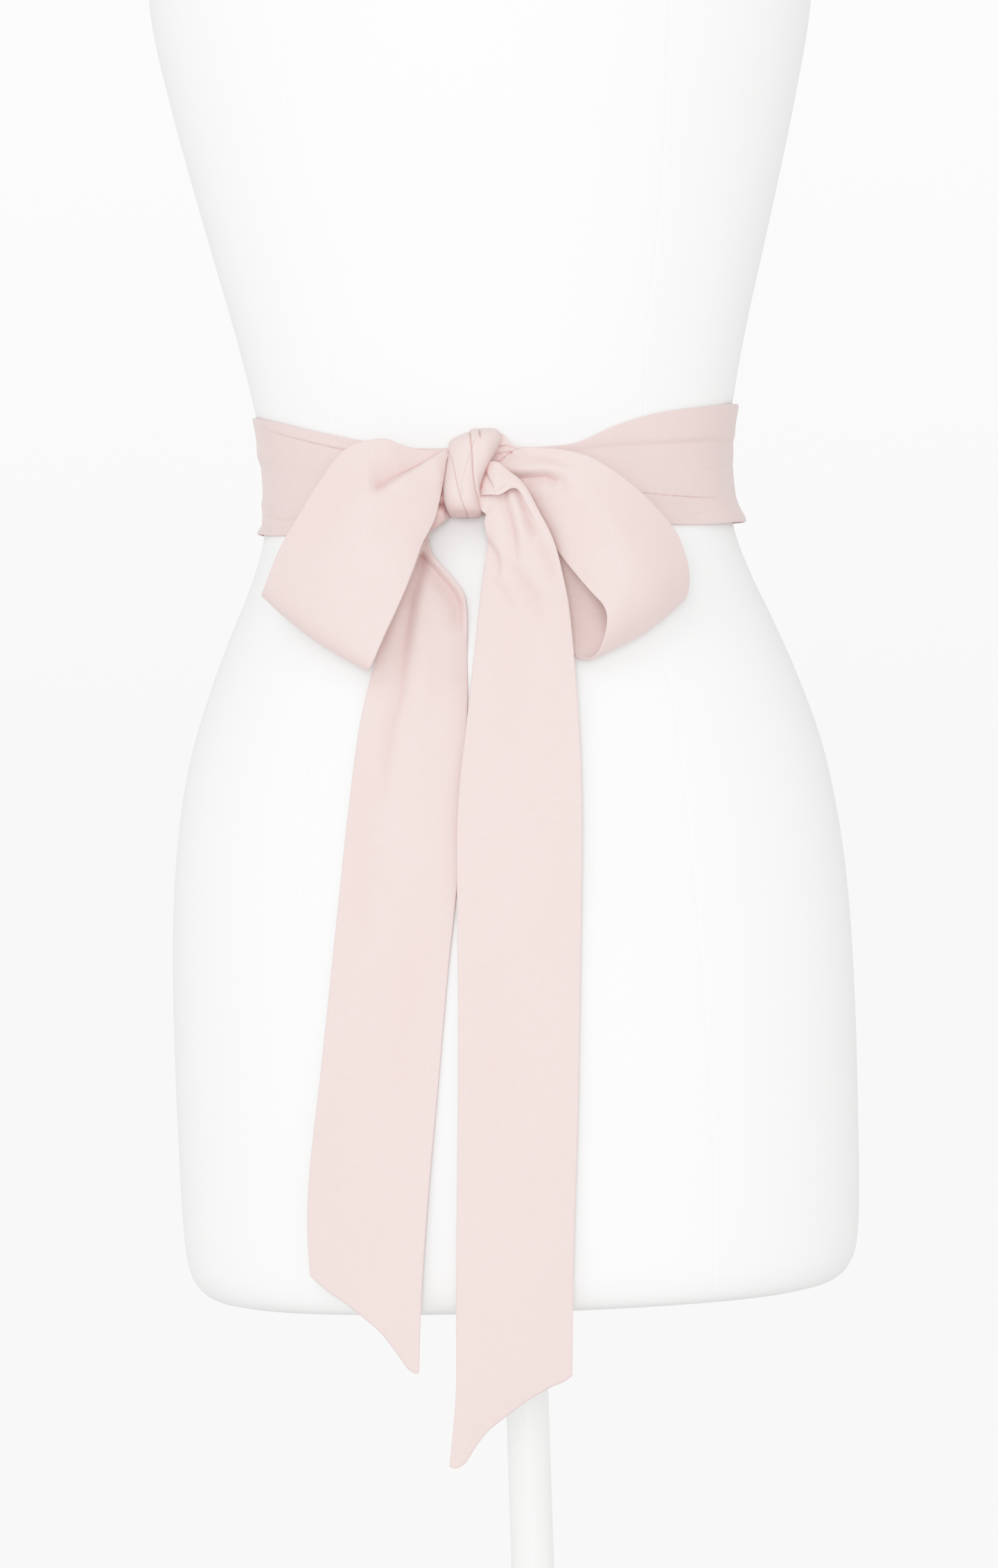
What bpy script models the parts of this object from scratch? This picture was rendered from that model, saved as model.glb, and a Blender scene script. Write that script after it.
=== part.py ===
"""A satin sash tied in a bow round the waist of a limbless dress form.

Metres, +Z up. The origin is the middle of the round base, on the floor, and the
form faces -Y. In the tables below, lengths are in millimetres: x runs to the right
of someone facing the form, up is the height above the waist line, and out is the
distance in front of the form's middle plane.
"""
import math

import bpy
from mathutils import Vector

MM = 0.001
WAIST_HEIGHT = 1020.0
SEAM_GAP = 0.3

# The dress form
FORM_COLUMNS = 56
FORM_SQUARENESS = 2.15
WAIST_REACH = 110.0
POLE_RADIUS = 11.0
COLLAR_RADIUS = 20.0
COLLAR_HEIGHT = 22.0
COLLAR_BEVEL = 4.0
HUB_TOP = 34.0
TURNED_SIDES = 48
# rise above the neck, and the size there as a share of the neck's own
NECK_CAP_PROFILE = ((0.0, 1.03), (2.0, 1.05), (9.0, 1.05), (12.0, 1.01))
# radius, height above the floor: the plate's edge, its slope, and the hub
BASE_PROFILE = (
    (200.0, 0.0),
    (200.0, 5.0),
    (197.0, 6.5),
    (60.0, 9.0),
    (26.0, 13.0),
    (17.0, 21.0),
    (17.0, HUB_TOP - 1.5),
    (15.5, HUB_TOP),
)

# The sash: crepe-backed satin, doubled, about 60 mm wide
SASH_THICKNESS = 1.5
BAND_THICKNESS = 2.4
BAND_CLEARANCE = 0.6
BAND_COLUMNS = 72
BAND_ROWS = 4
RIBBON_COLUMNS = 6
RIBBON_STEPS = 2

# height above the waist, half width, depth to the front, depth to the back
FORM_SECTIONS = (
    (-414.0, 146.0, 98.0, 97.0),
    (-411.5, 157.0, 105.5, 104.5),
    (-406.0, 165.0, 111.0, 110.0),
    (-396.0, 170.3, 115.0, 114.0),
    (-375.0, 172.8, 117.5, 117.0),
    (-325.0, 174.0, 120.0, 120.0),
    (-270.0, 174.3, 121.5, 122.0),
    (-220.0, 173.0, 120.5, 121.0),
    (-180.0, 169.5, 117.5, 118.0),
    (-140.0, 162.5, 113.0, 112.0),
    (-105.0, 151.5, 107.0, 104.5),
    (-75.0, 139.5, 101.0, 96.5),
    (-50.0, 128.5, 96.0, 90.0),
    (-28.0, 121.0, 92.5, 86.0),
    (-6.0, 118.3, 91.0, 84.0),
    (18.0, 119.0, 91.0, 83.5),
    (45.0, 123.3, 93.0, 85.5),
    (80.0, 131.0, 98.0, 90.5),
    (120.0, 141.2, 105.0, 97.0),
    (160.0, 151.3, 113.0, 103.0),
    (200.0, 160.7, 120.5, 107.5),
    (240.0, 168.5, 124.0, 109.5),
    (278.0, 170.5, 119.0, 109.5),
    (315.0, 170.0, 107.0, 107.5),
    (345.0, 171.5, 93.0, 103.0),
    (366.0, 169.0, 82.0, 96.0),
    (382.0, 153.0, 75.0, 89.0),
    (398.0, 122.0, 69.0, 81.0),
    (412.0, 88.0, 64.0, 72.0),
    (426.0, 66.0, 58.5, 64.0),
    (444.0, 57.5, 54.0, 58.5),
    (470.0, 55.0, 51.5, 56.0),
)

# degrees round from the front towards +X, height of the top edge, of the bottom edge
BAND_EDGES = (
    (-7.5, 13.5, -20.5),
    (16.0, 14.0, -21.0),
    (28.0, 23.0, -24.5),
    (40.0, 29.0, -26.5),
    (60.0, 33.5, -26.5),
    (90.0, 37.5, -24.0),
    (135.0, 37.0, -23.0),
    (180.0, 34.5, -25.5),
    (225.0, 37.5, -23.0),
    (270.0, 38.5, -22.0),
    (297.0, 33.0, -24.5),
    (320.0, 23.5, -26.0),
    (338.0, 15.5, -23.5),
    (351.0, 13.5, -20.5),
)

# place along the strip, then x, up, out of its left edge, x, up, out of its right
# edge (as the front layer shows them), and how far the middle of the strip bulges
LOOP_LEFT = (
    (0, -25.8, 9.4, 116.5, -28.6, -13.6, 116.5, 0.5),
    (1, -37.0, 12.4, 121, -33.6, -24.0, 120, 3.0),
    (2, -55.0, 17.6, 123, -37.0, -33.5, 124, 5.0),
    (3, -73.0, 13.4, 122, -40.8, -43.0, 127, 6.0),
    (4, -86.1, -1.0, 120, -45.3, -54.2, 129, 6.0),
    (5, -98.0, -18.7, 117, -50.6, -65.6, 130, 5.5),
    (6, -107.8, -34.5, 113, -57.6, -79.4, 130, 5.0),
    (7, -115.2, -51.0, 108, -63.6, -92.2, 128, 4.0),
    (8, -117.6, -56.0, 100, -65.8, -95.6, 121, 3.0),
    (9, -115.4, -52.2, 92, -63.8, -92.0, 113, 4.0),
    (10, -106.6, -34.0, 89, -57.4, -78.4, 111, 4.5),
    (11, -95.6, -15.0, 91, -50.0, -63.4, 111, 4.0),
    (12, -81.0, 1.0, 95, -43.6, -50.0, 111, 3.0),
    (13, -60.4, 8.6, 100, -38.4, -36.6, 111, 2.0),
    (14, -40.0, 8.2, 104, -33.4, -23.0, 110.5, 1.0),
    (15, -26.2, 7.0, 107, -28.6, -12.6, 109, 0.5),
)

LOOP_RIGHT = (
    (0, -5.4, -5.6, 112, 3.9, 17.8, 112.5, 0.3),
    (1, 4.4, -11.4, 112, 10.0, 12.0, 115, 1.5),
    (2, 14.4, -18.6, 113, 20.6, 11.0, 118, 2.5),
    (3, 22.6, -30.2, 115, 33.6, 9.0, 121, 4.0),
    (4, 30.4, -42.6, 119, 45.4, 5.4, 122, 5.0),
    (5, 37.8, -52.6, 124, 58.0, -2.4, 121, 5.5),
    (6, 43.6, -60.2, 128, 69.4, -11.8, 119, 5.5),
    (7, 47.8, -65.8, 130, 79.0, -22.0, 116, 5.5),
    (8, 50.4, -71.0, 131, 87.0, -32.6, 112, 5.0),
    (9, 51.0, -77.0, 130, 92.2, -46.0, 108, 4.5),
    (10, 49.4, -83.6, 127, 93.8, -56.8, 103, 4.0),
    (11, 46.2, -90.2, 121, 90.8, -63.6, 98, 3.5),
    (12, 40.6, -93.6, 114.5, 86.6, -59.0, 94, 3.5),
    (13, 34.4, -90.2, 111, 82.0, -45.0, 92, 3.5),
    (14, 28.0, -75.4, 109.5, 72.6, -27.0, 93, 3.0),
    (15, 21.8, -54.8, 108, 59.4, -12.4, 96, 2.5),
    (16, 15.0, -34.0, 106, 42.6, -1.6, 100, 2.0),
    (17, 7.6, -18.0, 105.5, 25.4, 5.4, 104, 1.0),
    (18, -5.2, -6.2, 106.5, 2.6, 11.0, 107, 0.3),
)

TAIL_RIGHT = (
    (0, -7.4, -19.4, 118.5, -2.4, 5.0, 118.5, 0.5),
    (1, -6.6, -25.0, 119, 9.4, -3.8, 120.5, 1.5),
    (2, -6.0, -31.0, 118.5, 17.6, -17.0, 122.5, 2.5),
    (3, -6.4, -39.0, 117.5, 26.2, -34.0, 123.5, 3.0),
    (4, -9.0, -54.0, 116.5, 30.8, -53.0, 122, 3.0),
    (5, -11.9, -74.0, 116, 33.8, -74.0, 119, 2.5),
    (6, -18.4, -119.5, 118, 36.0, -120.5, 120, 2.0),
    (7, -23.2, -152.0, 121, 36.4, -153.5, 122, 1.5),
    (8, -25.6, -182.0, 124, 35.6, -183.5, 125, 1.5),
    (9, -27.0, -243.0, 126, 32.8, -244.5, 126, 1.5),
    (10, -29.2, -310.4, 126, 29.4, -312.0, 126, 1.5),
    (11, -31.4, -360.0, 126, 26.6, -356.0, 125, 1.5),
    (12, -33.6, -412.0, 126, 24.4, -392.0, 125, 1.5),
    (13, -35.6, -450.0, 126, 23.2, -420.0, 125, 1.5),
    (14, -38.2, -484.0, 126, 22.2, -442.5, 125, 1.0),
)

TAIL_LEFT = (
    (0, -25.6, -19.8, 107.5, -21.2, -24.0, 108.5, 0.5),
    (1, -35.4, -34.0, 102.5, -26.0, -41.0, 103.5, 1.0),
    (2, -50.6, -56.0, 101.5, -21.6, -59.0, 103, 1.5),
    (3, -62.6, -90.0, 102, -17.4, -90.0, 106, 2.0),
    (4, -71.6, -122.0, 106, -18.4, -119.0, 111, 2.0),
    (5, -78.7, -164.9, 109.5, -22.1, -164.0, 117, 2.0),
    (6, -84.5, -207.0, 111, -26.4, -205.0, 121, 2.0),
    (7, -89.6, -245.0, 112, -31.7, -243.0, 122, 2.0),
    (8, -96.6, -295.0, 110, -38.0, -295.0, 122, 2.0),
    (9, -103.0, -338.0, 108, -45.0, -352.0, 121, 1.5),
    (10, -105.2, -366.0, 107, -50.4, -400.0, 120, 1.5),
    (11, -104.8, -391.0, 107, -54.4, -438.0, 120, 1.0),
)

# height above the waist, left side, right side, out at the back, out at the front
KNOT_SECTIONS = (
    (20.8, -10.5, -2.5, 107.0, 116.0),
    (19.6, -14.5, 1.2, 103.0, 121.0),
    (17.0, -19.5, 1.9, 100.5, 124.0),
    (13.5, -23.0, 1.6, 99.0, 126.0),
    (8.0, -24.2, -1.2, 98.5, 127.0),
    (1.0, -25.4, -5.2, 98.0, 127.5),
    (-7.0, -27.2, -8.2, 98.0, 127.5),
    (-14.0, -26.6, -9.0, 98.5, 126.0),
    (-19.0, -25.2, -8.2, 100.0, 123.5),
    (-22.0, -23.4, -8.0, 103.0, 119.0),
    (-23.2, -19.6, -10.0, 107.0, 114.5),
)
KNOT_COLUMNS = 36
KNOT_SQUARENESS = 2.6
# across the knot's front, 0 left to 1 right: where a pleat's valley runs, and its
# depth as a share of half the knot's
KNOT_PLEATS = ((0.27, 0.09), (0.72, 0.115))
PLEAT_WIDTH = 0.055


def paint(name, colour, roughness, metallic=0.0):
    """A plain material of one colour."""
    material = bpy.data.materials.new(name)
    material.use_nodes = True
    surface = material.node_tree.nodes["Principled BSDF"]
    surface.inputs["Base Color"].default_value = (*colour, 1.0)
    surface.inputs["Roughness"].default_value = roughness
    surface.inputs["Metallic"].default_value = metallic
    material.diffuse_color = (*colour, 1.0)
    return material


def add_solid(name, points, faces, material):
    """One closed body from points in millimetres."""
    mesh = bpy.data.meshes.new(name)
    mesh.from_pydata([Vector(point) * MM for point in points], [], faces)
    mesh.materials.append(material)
    mesh.shade_smooth()
    mesh.set_sharp_from_angle(angle=math.radians(40.0))
    solid = bpy.data.objects.new(name, mesh)
    bpy.context.scene.collection.objects.link(solid)
    return solid


def slope(rows, index, column):
    """The slope of a table's column at one row, from the rows beside it."""
    before = rows[max(index - 1, 0)]
    after = rows[min(index + 1, len(rows) - 1)]
    return (after[column] - before[column]) / (after[0] - before[0])


def read_smooth(rows, place):
    """The table's other columns at a place in its first column, on a smooth curve."""
    index = 0
    while index < len(rows) - 2 and place > rows[index + 1][0]:
        index += 1
    low, high = rows[index], rows[index + 1]
    span = high[0] - low[0]
    t = (place - low[0]) / span
    values = []
    for column in range(1, len(low)):
        start, end = low[column], high[column]
        leaving = slope(rows, index, column) * span
        arriving = slope(rows, index + 1, column) * span
        values.append(
            (2 * t**3 - 3 * t**2 + 1) * start
            + (t**3 - 2 * t**2 + t) * leaving
            + (3 * t**2 - 2 * t**3) * end
            + (t**3 - t**2) * arriving
        )
    return values


def rounded(angle, half_width, front, back, squareness):
    """A point on a rounded section, angle 0 at the front and 90 degrees at +X."""
    across, along = math.sin(angle), math.cos(angle)
    power = 2.0 / squareness
    x = math.copysign(abs(across) ** power, across) * half_width
    depth = front if along >= 0.0 else back
    return x, -math.copysign(abs(along) ** power, along) * depth


def form_point(angle, height):
    """A point on the dress form's surface."""
    half_width, front, back = read_smooth(FORM_SECTIONS, height)
    x, y = rounded(angle, half_width, front, back, FORM_SQUARENESS)
    return Vector((x, y, WAIST_HEIGHT + height))


def stack_rings(name, rings, material):
    """A closed body from rings of points, the lowest ring first."""
    columns = len(rings[0])
    points = [point for ring in rings for point in ring]
    faces = []
    for row in range(len(rings) - 1):
        for column in range(columns):
            beside = (column + 1) % columns
            low, high = row * columns, (row + 1) * columns
            faces.append((low + column, low + beside, high + beside, high + column))
    top = (len(rings) - 1) * columns
    faces.append(tuple(range(columns - 1, -1, -1)))
    faces.append(tuple(range(top, top + columns)))
    return add_solid(name, points, faces, material)


def turn_profile(name, profile, material):
    """A round body from radii and heights, the lowest first."""
    rings = []
    for radius, height in profile:
        angles = [2 * math.pi * side / TURNED_SIDES for side in range(TURNED_SIDES)]
        rings.append([(radius * math.cos(a), radius * math.sin(a), height) for a in angles])
    return stack_rings(name, rings, material)


def cloth_wall(name, sheet, thickness, material):
    """A thin closed wall, half its thickness to each side of a sheet of points."""
    rows, columns = len(sheet), len(sheet[0])
    faced, backed = [], []
    for row in range(rows):
        for column in range(columns):
            along = sheet[min(row + 1, rows - 1)][column] - sheet[max(row - 1, 0)][column]
            across = sheet[row][min(column + 1, columns - 1)] - sheet[row][max(column - 1, 0)]
            offset = along.cross(across).normalized() * thickness / 2
            faced.append(sheet[row][column] + offset)
            backed.append(sheet[row][column] - offset)
    size = rows * columns
    faces = []
    for row in range(rows - 1):
        for column in range(columns - 1):
            corner = row * columns + column
            quad = (corner, corner + columns, corner + columns + 1, corner + 1)
            faces.append(quad)
            faces.append(tuple(size + index for index in reversed(quad)))
    rim = list(range(columns))
    rim += [row * columns + columns - 1 for row in range(1, rows)]
    rim += [(rows - 1) * columns + column for column in range(columns - 2, -1, -1)]
    rim += [row * columns for row in range(rows - 2, 0, -1)]
    for place, start in enumerate(rim):
        end = rim[(place + 1) % len(rim)]
        faces.append((start, end, size + end, size + start))
    return add_solid(name, faced + backed, faces, material)


def ribbon_sheet(stations):
    """The middle of a strip, from a table of its two edges and its bulge."""
    last = len(stations) - 1
    lines = []
    for step in range(last * RIBBON_STEPS + 1):
        x1, up1, out1, x2, up2, out2, bulge = read_smooth(stations, step / RIBBON_STEPS)
        first = Vector((x1, -out1, WAIST_HEIGHT + up1))
        second = Vector((x2, -out2, WAIST_HEIGHT + up2))
        lines.append((first, second, bulge))
    sheet = []
    for step, (first, second, bulge) in enumerate(lines):
        before, after = lines[max(step - 1, 0)], lines[min(step + 1, len(lines) - 1)]
        along = after[0] + after[1] - before[0] - before[1]
        outward = along.cross(second - first).normalized()
        line = []
        for column in range(RIBBON_COLUMNS + 1):
            share = column / RIBBON_COLUMNS
            line.append(first.lerp(second, share) + outward * bulge * math.sin(math.pi * share))
        sheet.append(line)
    return sheet


def make_form(white, steel):
    """The smooth body, its neck cap, and the collar, pole and base that carry it."""
    heights = []
    for low, high in zip(FORM_SECTIONS, FORM_SECTIONS[1:]):
        parts = 2 if abs(low[0]) < WAIST_REACH else 1
        heights += [low[0] + (high[0] - low[0]) * part / parts for part in range(parts)]
    heights.append(FORM_SECTIONS[-1][0])
    angles = [2 * math.pi * column / FORM_COLUMNS for column in range(FORM_COLUMNS)]
    stack_rings("form_body", [[form_point(a, h) for a in angles] for h in heights], white)

    neck_top = heights[-1]
    lid = [form_point(a, neck_top) for a in angles]
    cap_floor = WAIST_HEIGHT + neck_top + SEAM_GAP
    rings = []
    for rise, spread in NECK_CAP_PROFILE:
        rings.append([(p.x * spread, p.y * spread, cap_floor + rise) for p in lid])
    stack_rings("form_neck_cap", rings, white)

    body_floor = WAIST_HEIGHT + heights[0]
    collar_top = body_floor - SEAM_GAP
    collar_floor = collar_top - COLLAR_HEIGHT
    collar_profile = (
        (COLLAR_RADIUS - COLLAR_BEVEL, collar_floor),
        (COLLAR_RADIUS, collar_floor + COLLAR_BEVEL),
        (COLLAR_RADIUS, collar_top),
    )
    turn_profile("form_collar", collar_profile, steel)
    pole_profile = ((POLE_RADIUS, HUB_TOP + SEAM_GAP), (POLE_RADIUS, collar_floor - SEAM_GAP))
    turn_profile("form_pole", pole_profile, steel)
    turn_profile("form_base", BASE_PROFILE, steel)


def make_band(cloth):
    """The stretch round the waist; its two ends meet behind the knot."""
    first, last = BAND_EDGES[0][0], BAND_EDGES[-1][0]
    sheet = []
    for column in range(BAND_COLUMNS + 1):
        degrees = first + (last - first) * column / BAND_COLUMNS
        top, bottom = read_smooth(BAND_EDGES, degrees)
        angle = math.radians(degrees)
        line = []
        for row in range(BAND_ROWS + 1):
            height = bottom + (top - bottom) * row / BAND_ROWS
            point = form_point(angle, height)
            turning = form_point(angle + 0.01, height) - form_point(angle - 0.01, height)
            rising = form_point(angle, height + 1.0) - form_point(angle, height - 1.0)
            outward = turning.cross(rising).normalized()
            line.append(point + outward * (BAND_CLEARANCE + BAND_THICKNESS / 2))
        sheet.append(line)
    cloth_wall("sash_band", sheet, BAND_THICKNESS, cloth)


def make_knot(cloth):
    """The turn of cloth over the crossing, pleated down its front."""
    rings = []
    for height, left, right, back, front in reversed(KNOT_SECTIONS):
        half_width = (right - left) / 2
        half_depth = (front - back) / 2
        ring = []
        for column in range(KNOT_COLUMNS):
            angle = 2 * math.pi * column / KNOT_COLUMNS
            x, y = rounded(angle, half_width, half_depth, half_depth, KNOT_SQUARENESS)
            share = (x + half_width) / (2 * half_width)
            if y < 0.0:
                for valley, depth in KNOT_PLEATS:
                    shape = math.exp(-(((share - valley) / PLEAT_WIDTH) ** 2) / 2)
                    y += depth * shape * half_depth
            ring.append(((left + right) / 2 + x, y - (back + front) / 2, WAIST_HEIGHT + height))
        rings.append(ring)
    stack_rings("sash_knot", rings, cloth)


def make_bow(cloth):
    """The knot, the two loops and the two tails."""
    make_knot(cloth)
    strips = {
        "sash_loop_left": LOOP_LEFT,
        "sash_loop_right": LOOP_RIGHT,
        "sash_tail_left": TAIL_LEFT,
        "sash_tail_right": TAIL_RIGHT,
    }
    for name, stations in strips.items():
        cloth_wall(name, ribbon_sheet(stations), SASH_THICKNESS, cloth)


for old in list(bpy.data.objects):
    bpy.data.objects.remove(old, do_unlink=True)

blush = paint("blush crepe-backed satin", (0.84, 0.62, 0.56), 0.7)
white = paint("white form shell", (0.86, 0.86, 0.85), 0.6)
steel = paint("white lacquered steel", (0.82, 0.82, 0.81), 0.35)

make_form(white, steel)
make_band(blush)
make_bow(blush)
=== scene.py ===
"""The looks of a satin sash tied in a bow round a dress form."""
import math

import bpy
import numpy as np
from mathutils import Matrix, Vector
from mathutils.bvhtree import BVHTree


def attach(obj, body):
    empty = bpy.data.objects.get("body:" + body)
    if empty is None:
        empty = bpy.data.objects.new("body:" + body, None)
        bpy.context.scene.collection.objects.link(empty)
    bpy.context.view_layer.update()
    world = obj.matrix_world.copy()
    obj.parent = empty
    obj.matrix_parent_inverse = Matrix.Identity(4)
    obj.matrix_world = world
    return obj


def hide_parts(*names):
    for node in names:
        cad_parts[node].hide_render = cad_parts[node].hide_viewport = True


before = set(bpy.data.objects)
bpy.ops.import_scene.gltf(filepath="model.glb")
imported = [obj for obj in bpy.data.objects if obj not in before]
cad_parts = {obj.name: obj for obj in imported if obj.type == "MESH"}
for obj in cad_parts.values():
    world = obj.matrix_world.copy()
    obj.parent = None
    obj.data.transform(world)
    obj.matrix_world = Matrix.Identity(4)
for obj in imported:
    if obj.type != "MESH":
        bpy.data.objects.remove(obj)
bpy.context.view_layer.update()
MM = 0.001


# The stand: a round pressed-steel base, a tube that rises from its hub and a collar
# under the body. All three are steel in a white stoved lacquer, smooth with a faint
# orange peel, and the tube drops into the hub and is held there by its own weight.
class Wire:
    """A node's output that takes part in sums written as Python."""

    def __init__(self, finish, socket):
        self.finish = finish
        self.socket = socket

    def sum(self, operation, *parts):
        places = dict(enumerate(parts))
        return self.finish.node("ShaderNodeMath", {"operation": operation}, places)

    def __add__(self, other):
        return self.sum("ADD", self, other)

    def __radd__(self, other):
        return self.sum("ADD", other, self)

    def __mul__(self, other):
        return self.sum("MULTIPLY", self, other)

    def __rmul__(self, other):
        return self.sum("MULTIPLY", other, self)


class Finish:
    """One material, made node by node round its Principled shader."""

    def __init__(self, name, colour, roughness, **uniform):
        self.material = bpy.data.materials.new(name)
        self.material.use_nodes = True
        self.nodes = self.material.node_tree.nodes
        self.surface = self.nodes["Principled BSDF"]
        self.surface.inputs["Base Color"].default_value = (*colour, 1.0)
        self.surface.inputs["Roughness"].default_value = roughness
        self.material.diffuse_color = (*colour, 1.0)
        for socket, value in uniform.items():
            self.surface.inputs[socket.replace("_", " ")].default_value = value

    def node(self, kind, settings=None, sockets=None, output=0):
        made = self.nodes.new(kind)
        for setting, value in (settings or {}).items():
            setattr(made, setting, value)
        for socket, value in (sockets or {}).items():
            self.join(value, made.inputs[socket])
        return Wire(self, made.outputs[output])

    def join(self, value, socket):
        if isinstance(value, Wire):
            self.material.node_tree.links.new(value.socket, socket)
        else:
            socket.default_value = value

    def mix(self, share, first, second):
        colours = [part if isinstance(part, Wire) else (*part, 1.0) for part in (first, second)]
        sockets = {0: share, 6: colours[0], 7: colours[1]}
        return self.node("ShaderNodeMix", {"data_type": "RGBA"}, sockets, 2)

    def grain(self, places, scale, detail=2.0, roughness=0.5):
        sockets = {"Vector": places, "Scale": scale, "Detail": detail, "Roughness": roughness}
        return self.node("ShaderNodeTexNoise", None, sockets)

    def bump(self, height, depth, strength=1.0, below=None):
        sockets = {"Height": height, "Distance": depth, "Strength": strength}
        if below:
            sockets["Normal"] = below
        return self.node("ShaderNodeBump", None, sockets)

    def feed(self, **sockets):
        for socket, value in sockets.items():
            self.join(value, self.surface.inputs[socket.replace("_", " ")])
        return self.material


def lacquer_finish():
    finish = Finish("white lacquer", (0.80, 0.80, 0.79), 0.34, Coat_Weight=0.25)
    here = finish.node("ShaderNodeTexCoord", output=3)
    peel = finish.grain(here, 420.0, 1.0)
    dust = finish.grain(here, 9.0, 6.0, 0.65)
    scuffs = finish.grain(here, 60.0, 8.0, 0.8)
    return finish.feed(
        Base_Color=finish.mix(dust, (0.78, 0.78, 0.765), (0.83, 0.83, 0.825)),
        Roughness=0.26 + 0.18 * scuffs,
        Normal=finish.bump(peel, 0.00008),
    )


def coat(node_name, material):
    """Gives a CAD node that stays as it is its own finish."""
    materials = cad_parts[node_name].data.materials
    materials.clear()
    materials.append(material)


lacquer = lacquer_finish()
for node_name in ("form_base", "form_pole", "form_collar"):
    coat(node_name, lacquer)


# The dress form: a smooth white shell, laid up in panels that meet in princess,
# side and back seams, each a fine shallow line. It is rubbed down matt, and a
# plain lid closes its neck. The sash and its bow rest on it.
WAIST = 1020.0
FORM_SQUARENESS = 2.15
FORM_SECTIONS = (
    # height above the waist, half width, depth to the front, depth to the back
    (-414.0, 146.0, 98.0, 97.0),
    (-411.5, 157.0, 105.5, 104.5),
    (-406.0, 165.0, 111.0, 110.0),
    (-396.0, 170.3, 115.0, 114.0),
    (-375.0, 172.8, 117.5, 117.0),
    (-325.0, 174.0, 120.0, 120.0),
    (-270.0, 174.3, 121.5, 122.0),
    (-220.0, 173.0, 120.5, 121.0),
    (-180.0, 169.5, 117.5, 118.0),
    (-140.0, 162.5, 113.0, 112.0),
    (-105.0, 151.5, 107.0, 104.5),
    (-75.0, 139.5, 101.0, 96.5),
    (-50.0, 128.5, 96.0, 90.0),
    (-28.0, 121.0, 92.5, 86.0),
    (-6.0, 118.3, 91.0, 84.0),
    (18.0, 119.0, 91.0, 83.5),
    (45.0, 123.3, 93.0, 85.5),
    (80.0, 131.0, 98.0, 90.5),
    (120.0, 141.2, 105.0, 97.0),
    (160.0, 151.3, 113.0, 103.0),
    (200.0, 160.7, 120.5, 107.5),
    (240.0, 168.5, 124.0, 109.5),
    (278.0, 170.5, 119.0, 109.5),
    (315.0, 170.0, 107.0, 107.5),
    (345.0, 171.5, 93.0, 103.0),
    (366.0, 169.0, 82.0, 96.0),
    (382.0, 153.0, 75.0, 89.0),
    (398.0, 122.0, 69.0, 81.0),
    (412.0, 88.0, 64.0, 72.0),
    (426.0, 66.0, 58.5, 64.0),
    (444.0, 57.5, 54.0, 58.5),
    (470.0, 55.0, 51.5, 56.0),
)
PRINCESS_SEAMS = (
    # height above the waist, x of the left front seam, of the right, of the back ones
    (-414.0, -104.0, 94.0, 82.0),
    (-323.0, -105.0, 95.5, 84.0),
    (-226.0, -104.0, 92.0, 82.0),
    (-169.0, -101.0, 88.5, 78.0),
    (-123.0, -96.6, 84.5, 72.0),
    (-88.0, -88.0, 79.5, 66.0),
    (0.0, -79.0, 73.0, 58.0),
    (33.0, -80.4, 74.5, 60.0),
    (72.0, -83.5, 77.5, 64.0),
    (137.0, -92.0, 86.0, 72.0),
    (215.0, -100.5, 92.0, 80.0),
    (290.0, -102.0, 95.0, 86.0),
    (366.0, -96.0, 91.0, 84.0),
    (398.0, -72.0, 69.0, 66.0),
    (426.0, -42.0, 41.0, 40.0),
    (470.0, -33.0, 33.0, 32.0),
)
PANEL_COLUMNS = 30
FORM_ROWS = 260
HEM_HEIGHT = 30.0
HEM_ROWS = 24
SEAM_DEPTH = 0.22
SEAM_WIDTH = 0.6
# how much the columns of a panel crowd towards its seams
SEAM_CROWDING = 0.145
SHARP_EDGE = 62.0


def smooth(table, places):
    """The table's other columns at places in its first column, on smooth curves."""
    rows = np.array(table, float)
    keys, values = rows[:, 0], rows[:, 1:]
    order, last = np.arange(len(keys)), len(keys) - 1
    before, after = np.maximum(order - 1, 0), np.minimum(order + 1, last)
    slopes = (values[after] - values[before]) / (keys[after] - keys[before])[:, None]
    places = np.asarray(places, float)
    low = np.clip(np.searchsorted(keys, places, "right") - 1, 0, last - 1)
    span = (keys[low + 1] - keys[low])[..., None]
    t = (places - keys[low])[..., None] / span
    return (
        (2 * t**3 - 3 * t**2 + 1) * values[low]
        + (t**3 - 2 * t**2 + t) * slopes[low] * span
        + (3 * t**2 - 2 * t**3) * values[low + 1]
        + (t**3 - t**2) * slopes[low + 1] * span
    )


def form_point(angle, height):
    """Points on the form's surface, angle 0 at the front and 90 degrees at +X."""
    sizes = smooth(FORM_SECTIONS, height)
    half_width, front, back = sizes[..., 0], sizes[..., 1], sizes[..., 2]
    power = 2.0 / FORM_SQUARENESS
    across, along = np.sin(angle), np.cos(angle)
    x = np.sign(across) * np.abs(across) ** power * half_width
    y = -np.sign(along) * np.abs(along) ** power * np.where(along >= 0.0, front, back)
    return np.stack([x, y, WAIST + height], axis=-1)


def normals(grid):
    """Unit normals of a grid of points."""
    crossed = np.cross(np.gradient(grid, axis=0), np.gradient(grid, axis=1))
    return crossed / np.maximum(np.linalg.norm(crossed, axis=-1, keepdims=True), 1e-12)


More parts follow.
